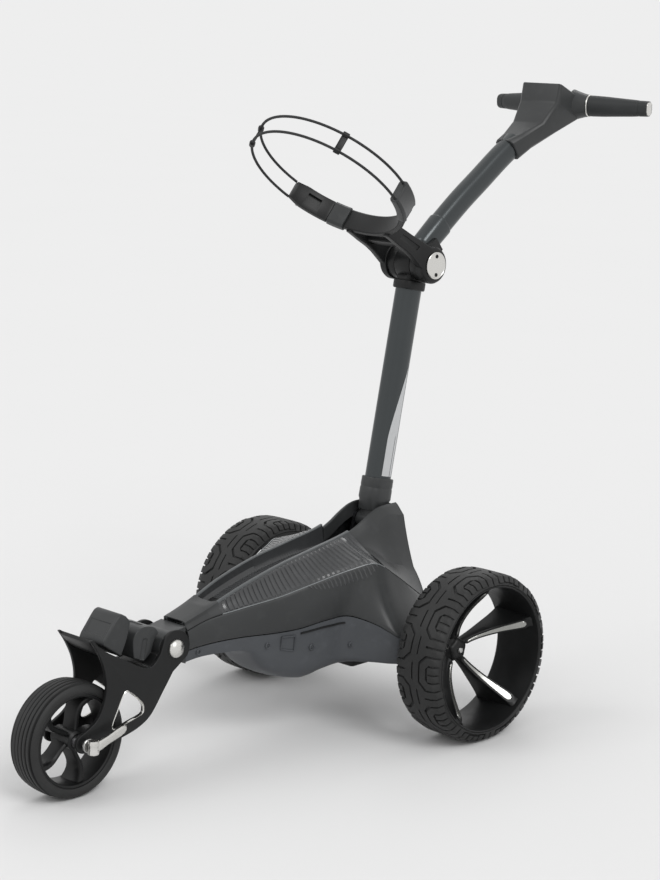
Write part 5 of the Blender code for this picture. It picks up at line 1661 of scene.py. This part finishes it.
def build_grips(sizes):
    """The two grips: tapered rubber, a silver ring, a groove and a squarish silver end cap."""
    span = (GRIP_OUTER - GRIP_INNER).normalized()
    length = (GRIP_OUTER - GRIP_INNER).length
    for name, side in SIDES:
        direction = Vector((side * span.x, span.y, span.z))
        inner = Vector((side * GRIP_INNER.x, GRIP_INNER.y, GRIP_INNER.z))
        other = direction.cross(UP).normalized()
        high = other.cross(direction).normalized()
        if high.z < 0:
            high = -high

        def section(along, radius, squareness):
            return oval(inner + direction * along, other, high, 2.0 * radius, 2.0 * radius, 56, squareness)

        ring_piece = turned(f"{name}_grip_ring", [(0.0172, 0.0002), (0.0196, 0.0002), (0.0199, 0.0008),
                                                  (0.0199, 0.0022), (0.0196, 0.0028), (0.0172, 0.0028)],
                            inner, axis=direction, steps=72)
        finished(ring_piece, "upper_arm", FINISH["satin_metal"])
        stations = [(0.0030, 0.0176, 2.0), (0.0036, 0.0186, 2.0), (0.0100, 0.0188, 2.0), (0.0300, 0.0182, 2.0),
                    (length * 0.5, 0.0166, 2.1), (length * 0.75, 0.0150, 2.3), (length - 0.0210, 0.0142, 2.5),
                    (length - 0.0200, 0.0134, 2.5), (length - 0.0184, 0.0134, 2.5), (length - 0.0174, 0.0141, 2.5),
                    (length - 0.0040, 0.0137, 2.8), (length - 0.0022, 0.0133, 2.9), (length - 0.0018, 0.0122, 3.0)]
        grip = loft(f"{name}_rubber_grip", [section(*s) for s in stations])
        in_place_of(grip, f"{name}_grip")
        cap = loft(f"{name}_grip_cap", [section(length - 0.0019, 0.0118, 3.2), section(length - 0.0008, 0.0118, 3.2),
                                        section(length - 0.0001, 0.0108, 3.2)])
        finished(cap, "upper_arm", FINISH["satin_metal"])


# Bag support

RING_CENTRE = Vector((0.0, -0.0844, 0.9372))
RING_TILT = math.radians(40.0)
RING_RADIUS = 0.1390
RING_SPACING = 0.0306
RING_BACK = Vector((0.0, math.cos(RING_TILT), -math.sin(RING_TILT)))
RING_UP = Vector((0.0, math.sin(RING_TILT), math.cos(RING_TILT)))
COVER_START = 10.0
SADDLE_START = 36.4
SADDLE_END = 113.0
COVER_END = 126.6
BUCKLE_END = 158.4
SEAM_ANGLE = 0.4


def on_ring(degrees, radius, rise):
    """A point of the tilted ring: degrees from the left side towards the rear."""
    angle = math.radians(degrees)
    return (RING_CENTRE + X * radius * math.cos(angle) + RING_BACK * radius * math.sin(angle) + RING_UP * rise)


def ring_band(name, start, end, section, steps):
    """A curved bar that follows the ring. The section gives (radius, rise) points at a share of its length."""
    rings = []
    for share in spread(0.0, 1.0, steps):
        degrees = start + (end - start) * share
        rings.append([on_ring(degrees, radius, rise) for radius, rise in section(share)])
    return loft(name, rings)


def build_yoke(sizes):
    """The yoke on the hinge with its legs, and the curved saddle that the bag rests in."""
    def saddle(share):
        low = -RING_SPACING - 0.0030
        high = 0.0030
        pinch = 0.0012 * math.sin(math.pi * share)
        inner = 0.1340
        outer = 0.1440
        return [(inner, low + 0.002), (inner + 0.0015, low), (outer - 0.0025, low), (outer, low + 0.0025),
                (outer - pinch, low * 0.5), (outer, high - 0.0025), (outer - 0.0025, high), (inner + 0.0015, high),
                (inner, high - 0.002), (inner + 0.0012, low * 0.5)]
    yoke = ring_band("saddle", SADDLE_START, SADDLE_END, saddle, 30)
    for side in (1.0, -1.0):
        low = side * 0.0352
        high = side * 0.0520
        housing = turned("hinge_housing", [(0.0, low * side), (0.0312, low * side), (0.0320, low * side + 0.0010),
                                           (0.0320, 0.0462), (0.0308, 0.0474), (0.0308, 0.0484), (0.0300, 0.0500),
                                           (0.0268, 0.0520), (0.0, 0.0520)], HINGE, steps=96)
        if side < 0:
            mirrored_piece(housing)
        yoke = fused(yoke, housing)
        outline = [(0.0810, 0.7600), (0.1240, 0.7860)]
        outline += smooth_line([(0.0860, 0.8060), (0.0700, 0.8140), (0.0520, 0.8230), (0.0320, 0.8340),
                                (0.0120, 0.8440)], 3)
        outline += smooth_line([(-0.0080, 0.8250), (0.0080, 0.8150), (0.0220, 0.8060), (0.0390, 0.7960),
                                (0.0540, 0.7850)], 3)
        leg = plate("leg", on_side(side * 0.0370, outline), (side * 0.0130, 0.0, 0.0))
        rounded(leg, 0.0020, 3, 40.0)
        cut(leg, rounded(plate("leg_pocket", on_side(side * 0.0482, [(0.0220, 0.8180), (0.0640, 0.7950),
                                                                     (0.0720, 0.8010), (0.0280, 0.8260)]),
                               (side * 0.0100, 0.0, 0.0)), 0.0012, 2, 20.0))
        yoke = fused(yoke, leg)
    bar = rounded(cube("cross_bar", (0.0, 0.0420, 0.8080), (0.0900, 0.0220, 0.0100), math.radians(-25.0)), 0.0020, 2)
    yoke = fused(yoke, bar)
    cut(yoke, cylinder("bolt_bore", (-0.06, *HINGE.yz), (0.06, *HINGE.yz), 0.0066, 24))
    in_place_of(yoke, "bag_yoke")


def build_arm_covers(sizes):
    """The two padded end covers of the saddle, with a raised rim."""
    def cover(share):
        low = -RING_SPACING - 0.0050
        high = 0.0050
        swell = 0.0006 * math.sin(math.pi * share)
        inner = 0.1300
        outer = 0.1480 + swell
        return [(inner, low + 0.004), (inner + 0.003, low), (outer - 0.004, low), (outer, low + 0.004),
                (outer - 0.0014, low + 0.0075), (outer - 0.0014, high - 0.0075), (outer, high - 0.004),
                (outer - 0.004, high), (inner + 0.003, high), (inner, high - 0.004)]
    ends = (("left", COVER_START, SADDLE_START - SEAM_ANGLE), ("right", SADDLE_END + SEAM_ANGLE, COVER_END))
    for name, start, end in ends:
        made = rounded(ring_band(f"{name}_cover", start, end, cover, 14), 0.0012, 3, 40.0)
        in_place_of(made, f"{name}_arm_cover")


def build_buckle(sizes):
    """The strap's adjusting buckle: a faceted frame with a recess, a pin and two rivets."""
    def frame_section(share):
        low = -RING_SPACING - 0.0040
        high = 0.0040
        taper = 0.0040 * max(0.0, (share - 0.72) / 0.28)
        return [(0.1330, low + taper), (0.1430, low + taper), (0.1450, low + 0.002 + taper),
                (0.1450, high - 0.002 - taper), (0.1430, high - taper), (0.1330, high - taper)]
    start = COVER_END + SEAM_ANGLE
    buckle = rounded(ring_band("buckle", start, BUCKLE_END, frame_section, 16), 0.0010, 2, 30.0)
    middle_at = (start + BUCKLE_END) / 2.0
    window = ring_band("window", middle_at - 6.5, middle_at + 4.5,
                       lambda share: [(0.125, -0.0265), (0.1385, -0.0250), (0.1385, -0.0060), (0.125, -0.0045)], 6)
    cut(buckle, window)
    pins = [cylinder("buckle_pin", on_ring(middle_at + 7.8, 0.1440, -0.034), on_ring(middle_at + 7.8, 0.1440, 0.0035),
                     0.0022, 20)]
    for degrees in (middle_at - 8.8, middle_at + 11.5):
        place = on_ring(degrees, 0.1450, -RING_SPACING / 2.0)
        outwards = (on_ring(degrees, 0.2450, -RING_SPACING / 2.0) - place).normalized()
        pins.append(turned("rivet", [(0.0, -0.0010), (0.0034, -0.0010), (0.0034, 0.0006), (0.0024, 0.0014),
                                     (0.0, 0.0016)], place, axis=outwards, steps=28))
    in_place_of(buckle, "strap_buckle")
    finished(joined("buckle_pins", pins), "bag_support", FINISH["pin_metal"])


LINK_HALF_ANGLE = 2.3


def build_cords(sizes):
    """The strap's two elastic cords and the plastic links that hold them apart."""
    last = BUCKLE_END + SEAM_ANGLE - 360.0
    first = COVER_START - SEAM_ANGLE
    for name, rise in (("upper_strap_cord", 0.0), ("lower_strap_cord", -RING_SPACING)):
        rings = []
        for degrees in spread(first, last, 110):
            centre = on_ring(degrees, RING_RADIUS, rise)
            outwards = (on_ring(degrees, RING_RADIUS + 1.0, rise) - centre).normalized()
            rings.append([centre + outwards * sizes.cord_radius * math.cos(math.tau * k / 14)
                          + RING_UP * sizes.cord_radius * math.sin(math.tau * k / 14) for k in range(14)])
        in_place_of(loft(name.replace("strap", "elastic"), rings), name, FINISH["strap_cord"])
    links = []
    for degrees in (-45.0, -135.0):
        links.append(rounded(ring_band("link", degrees - LINK_HALF_ANGLE, degrees + LINK_HALF_ANGLE,
                                       lambda share: [(0.1375, -RING_SPACING), (0.1405, -RING_SPACING),
                                                      (0.1405, 0.0), (0.1375, 0.0)], 3), 0.0006, 2))
        for rise in (0.0, -RING_SPACING):
            centre = on_ring(degrees, RING_RADIUS, rise)
            along = (on_ring(degrees + 0.5, RING_RADIUS, rise) - centre).normalized()
            links.append(turned("link_clamp", [(0.0026, -0.0055), (0.0044, -0.0055), (0.0050, -0.0048),
                                               (0.0050, 0.0048), (0.0044, 0.0055), (0.0026, 0.0055)],
                                centre, axis=along, steps=32))
    finished(joined("cord_links", links), "bag_support", FINISH["black_plastic"])


# What a user would change

class TrolleySizes(bpy.types.PropertyGroup):
    """Sizes of the modelled pieces, and the stage's settings."""

    tread_pitches: bpy.props.IntProperty(
        name="Tread pitches", description="How often the rear tread's pattern repeats", default=10, min=6, max=14)
    tread_groove: bpy.props.FloatProperty(
        name="Tread groove", description="Width of the grooves between the rear lugs", default=0.0019,
        min=0.001, max=0.006, unit="LENGTH")
    front_ribs: bpy.props.IntProperty(
        name="Front ribs", description="Ribs round the front tyre", default=5, min=3, max=9)
    rib_pitch: bpy.props.FloatProperty(
        name="Trim rib pitch", description="Distance between the ribs of the body's trims", default=0.0088,
        min=0.005, max=0.03, unit="LENGTH")
    cord_radius: bpy.props.FloatProperty(
        name="Cord radius", description="Radius of the strap's elastic cords", default=0.0023,
        min=0.001, max=0.006, unit="LENGTH")
    camera_place: bpy.props.FloatVectorProperty(
        name="Camera place", description="Where the camera stands", default=(2.5533, -2.5555, 1.2330),
        subtype="XYZ", unit="LENGTH")
    camera_heading: bpy.props.FloatProperty(
        name="Camera heading", description="Which way round the object the camera stands",
        default=math.radians(44.8518), unit="ROTATION")
    camera_dip: bpy.props.FloatProperty(
        name="Camera dip", description="How far the camera looks down", default=math.radians(11.7279),
        unit="ROTATION")
    camera_roll: bpy.props.FloatProperty(
        name="Camera roll", description="How far the camera leans", default=math.radians(0.528), unit="ROTATION")
    camera_lens: bpy.props.FloatProperty(
        name="Lens", description="Focal length", default=89.535, unit="CAMERA")
    key_light: bpy.props.FloatProperty(
        name="Key light", description="Strength of the main soft light", default=1.1, min=0.0)
    front_light: bpy.props.FloatProperty(
        name="Front light", description="Strength of the soft light in front", default=0.55, min=0.0)
    rim_light: bpy.props.FloatProperty(
        name="Rim light", description="Strength of the soft light from behind", default=0.25, min=0.0)
    surround: bpy.props.FloatProperty(
        name="Surround", description="Brightness of the pale surround", default=0.855, min=0.0)
    floor_tone: bpy.props.FloatProperty(
        name="Floor tone", description="How bright the lit floor looks", default=0.855, min=0.0, max=1.0)


class TrolleyColours(bpy.types.PropertyGroup):
    """Base colours of the finishes."""

    black: bpy.props.FloatVectorProperty(
        name="Black plastic", description="Wheels, bracket and fittings", default=(0.0055, 0.0058, 0.0060),
        subtype="COLOR", min=0.0, max=1.0)
    charcoal: bpy.props.FloatVectorProperty(
        name="Charcoal plastic", description="Body and handle mouldings", default=(0.0300, 0.0315, 0.0322),
        subtype="COLOR", min=0.0, max=1.0)
    trim: bpy.props.FloatVectorProperty(
        name="Ribbed trim", description="Channel and the ribbed trims", default=(0.036, 0.0375, 0.0390),
        subtype="COLOR", min=0.0, max=1.0)
    casing: bpy.props.FloatVectorProperty(
        name="Casing", description="Lower casing", default=(0.058, 0.0620, 0.0680), subtype="COLOR", min=0.0, max=1.0)
    rubber: bpy.props.FloatVectorProperty(
        name="Tyre rubber", description="Tyres", default=(0.0170, 0.0172, 0.0172), subtype="COLOR", min=0.0, max=1.0)
    graphite: bpy.props.FloatVectorProperty(
        name="Graphite lacquer", description="Mast and arm tubes", default=(0.040, 0.045, 0.047),
        subtype="COLOR", min=0.0, max=1.0)
    silver: bpy.props.FloatVectorProperty(
        name="Satin silver", description="Caps, strips and dial", default=(0.78, 0.77, 0.74),
        subtype="COLOR", min=0.0, max=1.0)


# Operators

class TROLLEY_OT_mix_finishes(bpy.types.Operator):
    """Mix every material and paint the frame's own nodes."""

    bl_idname = "trolley.mix_finishes"
    bl_label = "Finishes"
    bl_options = {"REGISTER", "UNDO"}

    def execute(self, context):
        mix_finishes(context.scene.trolley_colours)
        return {"FINISHED"}


class TROLLEY_OT_build_stage(bpy.types.Operator):
    """Lay the floor and set the lights and the camera."""

    bl_idname = "trolley.build_stage"
    bl_label = "Stage"
    bl_options = {"REGISTER", "UNDO"}

    def execute(self, context):
        build_stage(context.scene.trolley_sizes)
        return {"FINISHED"}


class TROLLEY_OT_build_rear_tyres(bpy.types.Operator):
    """Model both rear tyres with their lugs."""

    bl_idname = "trolley.build_rear_tyres"
    bl_label = "Rear tyres"
    bl_options = {"REGISTER", "UNDO"}

    def execute(self, context):
        build_rear_tyres(context.scene.trolley_sizes)
        return {"FINISHED"}


class TROLLEY_OT_build_rear_rims(bpy.types.Operator):
    """Model both rear rims, their strips and hub pins."""

    bl_idname = "trolley.build_rear_rims"
    bl_label = "Rear rims"
    bl_options = {"REGISTER", "UNDO"}

    def execute(self, context):
        build_rear_rims(context.scene.trolley_sizes)
        return {"FINISHED"}


class TROLLEY_OT_build_front_wheel(bpy.types.Operator):
    """Model the front tyre and rim."""

    bl_idname = "trolley.build_front_wheel"
    bl_label = "Front wheel"
    bl_options = {"REGISTER", "UNDO"}

    def execute(self, context):
        build_front_wheel(context.scene.trolley_sizes)
        return {"FINISHED"}


class TROLLEY_OT_build_side_panels(bpy.types.Operator):
    """Model the body's two flanks."""

    bl_idname = "trolley.build_side_panels"
    bl_label = "Side panels"
    bl_options = {"REGISTER", "UNDO"}

    def execute(self, context):
        build_side_panels(context.scene.trolley_sizes)
        return {"FINISHED"}


class TROLLEY_OT_build_trims(bpy.types.Operator):
    """Model the ribbed trims and their edge beads, painted pale as a highlight."""

    bl_idname = "trolley.build_trims"
    bl_label = "Ribbed trims"
    bl_options = {"REGISTER", "UNDO"}

    def execute(self, context):
        build_trims(context.scene.trolley_sizes)
        return {"FINISHED"}


class TROLLEY_OT_build_channel(bpy.types.Operator):
    """Model the ribbed channel, its crest rails, painted light grey as a highlight, and its mouth, where a black slab
    is painted as shade.
    """

    bl_idname = "trolley.build_channel"
    bl_label = "Channel"
    bl_options = {"REGISTER", "UNDO"}

    def execute(self, context):
        build_channel(context.scene.trolley_sizes)
        return {"FINISHED"}


class TROLLEY_OT_build_lower_casing(bpy.types.Operator):
    """Model the lower casing with its ribs and bosses, and black strips painted as the shade of its slots."""

    bl_idname = "trolley.build_lower_casing"
    bl_label = "Lower casing"
    bl_options = {"REGISTER", "UNDO"}

    def execute(self, context):
        build_lower_casing(context.scene.trolley_sizes)
        return {"FINISHED"}


class TROLLEY_OT_build_cowl(bpy.types.Operator):
    """Model the cowl round the mast's foot."""

    bl_idname = "trolley.build_cowl"
    bl_label = "Rear cowl"
    bl_options = {"REGISTER", "UNDO"}

    def execute(self, context):
        build_cowl(context.scene.trolley_sizes)
        return {"FINISHED"}


class TROLLEY_OT_build_nose(bpy.types.Operator):
    """Model the cast nose at the front pivot."""

    bl_idname = "trolley.build_nose"
    bl_label = "Nose"
    bl_options = {"REGISTER", "UNDO"}

    def execute(self, context):
        build_nose(context.scene.trolley_sizes)
        return {"FINISHED"}


class TROLLEY_OT_build_drive_cover(bpy.types.Operator):
    """Model the cover under the drive."""

    bl_idname = "trolley.build_drive_cover"
    bl_label = "Drive cover"
    bl_options = {"REGISTER", "UNDO"}

    def execute(self, context):
        build_drive_cover(context.scene.trolley_sizes)
        return {"FINISHED"}


class TROLLEY_OT_build_fork_plates(bpy.types.Operator):
    """Model the front bracket's plates, window edges and domed caps."""

    bl_idname = "trolley.build_fork_plates"
    bl_label = "Bracket plates"
    bl_options = {"REGISTER", "UNDO"}

    def execute(self, context):
        build_fork_plates(context.scene.trolley_sizes)
        return {"FINISHED"}


class TROLLEY_OT_build_cradle(bpy.types.Operator):
    """Model the cradle's visor, the rest block and the latch housing."""

    bl_idname = "trolley.build_cradle"
    bl_label = "Bag cradle"
    bl_options = {"REGISTER", "UNDO"}

    def execute(self, context):
        build_cradle(context.scene.trolley_sizes)
        return {"FINISHED"}


class TROLLEY_OT_build_axle_end(bpy.types.Operator):
    """Model the cam lever and the front axle's ends."""

    bl_idname = "trolley.build_axle_end"
    bl_label = "Axle ends"
    bl_options = {"REGISTER", "UNDO"}

    def execute(self, context):
        build_axle_end(context.scene.trolley_sizes)
        return {"FINISHED"}


class TROLLEY_OT_build_mast(bpy.types.Operator):
    """Model the mast's foot, tube, clamp and strips."""

    bl_idname = "trolley.build_mast"
    bl_label = "Mast"
    bl_options = {"REGISTER", "UNDO"}

    def execute(self, context):
        build_mast(context.scene.trolley_sizes)
        return {"FINISHED"}


class TROLLEY_OT_build_hinge_discs(bpy.types.Operator):
    """Model the hinge's silver discs and their screws."""

    bl_idname = "trolley.build_hinge_discs"
    bl_label = "Hinge discs"
    bl_options = {"REGISTER", "UNDO"}

    def execute(self, context):
        build_hinge_discs(context.scene.trolley_sizes)
        return {"FINISHED"}


class TROLLEY_OT_build_arm(bpy.types.Operator):
    """Model the bent tube and its collar."""

    bl_idname = "trolley.build_arm"
    bl_label = "Upper arm"
    bl_options = {"REGISTER", "UNDO"}

    def execute(self, context):
        build_arm(context.scene.trolley_sizes)
        return {"FINISHED"}


class TROLLEY_OT_build_head(bpy.types.Operator):
    """Model the handle's head."""

    bl_idname = "trolley.build_head"
    bl_label = "Handle head"
    bl_options = {"REGISTER", "UNDO"}

    def execute(self, context):
        build_head(context.scene.trolley_sizes)
        return {"FINISHED"}


class TROLLEY_OT_build_controls(bpy.types.Operator):
    """Model the screen, the dial, its button and the keys."""

    bl_idname = "trolley.build_controls"
    bl_label = "Controls"
    bl_options = {"REGISTER", "UNDO"}

    def execute(self, context):
        build_controls(context.scene.trolley_sizes)
        return {"FINISHED"}


class TROLLEY_OT_build_grips(bpy.types.Operator):
    """Model the grips, their rings and their end caps."""

    bl_idname = "trolley.build_grips"
    bl_label = "Grips"
    bl_options = {"REGISTER", "UNDO"}

    def execute(self, context):
        build_grips(context.scene.trolley_sizes)
        return {"FINISHED"}


class TROLLEY_OT_build_yoke(bpy.types.Operator):
    """Model the bag support's yoke and saddle."""

    bl_idname = "trolley.build_yoke"
    bl_label = "Yoke"
    bl_options = {"REGISTER", "UNDO"}

    def execute(self, context):
        build_yoke(context.scene.trolley_sizes)
        return {"FINISHED"}


class TROLLEY_OT_build_arm_covers(bpy.types.Operator):
    """Model the saddle's end covers."""

    bl_idname = "trolley.build_arm_covers"
    bl_label = "Saddle ends"
    bl_options = {"REGISTER", "UNDO"}

    def execute(self, context):
        build_arm_covers(context.scene.trolley_sizes)
        return {"FINISHED"}


class TROLLEY_OT_build_buckle(bpy.types.Operator):
    """Model the strap's buckle, its pin and rivets."""

    bl_idname = "trolley.build_buckle"
    bl_label = "Buckle"
    bl_options = {"REGISTER", "UNDO"}

    def execute(self, context):
        build_buckle(context.scene.trolley_sizes)
        return {"FINISHED"}


class TROLLEY_OT_build_cords(bpy.types.Operator):
    """Model the strap's two cords and their links."""

    bl_idname = "trolley.build_cords"
    bl_label = "Strap cords"
    bl_options = {"REGISTER", "UNDO"}

    def execute(self, context):
        build_cords(context.scene.trolley_sizes)
        return {"FINISHED"}


# In the order in which the pieces are made
STEPS = (
    TROLLEY_OT_mix_finishes,
    TROLLEY_OT_build_stage,
    TROLLEY_OT_build_rear_tyres,
    TROLLEY_OT_build_rear_rims,
    TROLLEY_OT_build_front_wheel,
    TROLLEY_OT_build_side_panels,
    TROLLEY_OT_build_trims,
    TROLLEY_OT_build_channel,
    TROLLEY_OT_build_lower_casing,
    TROLLEY_OT_build_cowl,
    TROLLEY_OT_build_nose,
    TROLLEY_OT_build_drive_cover,
    TROLLEY_OT_build_fork_plates,
    TROLLEY_OT_build_cradle,
    TROLLEY_OT_build_axle_end,
    TROLLEY_OT_build_mast,
    TROLLEY_OT_build_hinge_discs,
    TROLLEY_OT_build_arm,
    TROLLEY_OT_build_head,
    TROLLEY_OT_build_controls,
    TROLLEY_OT_build_grips,
    TROLLEY_OT_build_yoke,
    TROLLEY_OT_build_arm_covers,
    TROLLEY_OT_build_buckle,
    TROLLEY_OT_build_cords,
)


class TROLLEY_PT_pieces(bpy.types.Panel):
    """The trolley's settings and its pieces."""

    bl_idname = "TROLLEY_PT_pieces"
    bl_label = "Golf trolley"
    bl_space_type = "VIEW_3D"
    bl_region_type = "UI"
    bl_category = "Trolley"

    def draw(self, context):
        for settings in (context.scene.trolley_sizes, context.scene.trolley_colours):
            box = self.layout.box()
            for name in type(settings).__annotations__:
                box.prop(settings, name)
        column = self.layout.column(align=True)
        for step in STEPS:
            column.operator(step.bl_idname)


CLASSES = (TrolleySizes, TrolleyColours, *STEPS, TROLLEY_PT_pieces)


def register():
    for made in CLASSES:
        bpy.utils.register_class(made)
    bpy.types.Scene.trolley_sizes = bpy.props.PointerProperty(type=TrolleySizes)
    bpy.types.Scene.trolley_colours = bpy.props.PointerProperty(type=TrolleyColours)


def unregister():
    del bpy.types.Scene.trolley_colours
    del bpy.types.Scene.trolley_sizes
    for made in reversed(CLASSES):
        bpy.utils.unregister_class(made)


def main():
    register()
    for step in STEPS:
        family, name = step.bl_idname.split(".")
        getattr(getattr(bpy.ops, family), name)()


if __name__ == "__main__":
    main()
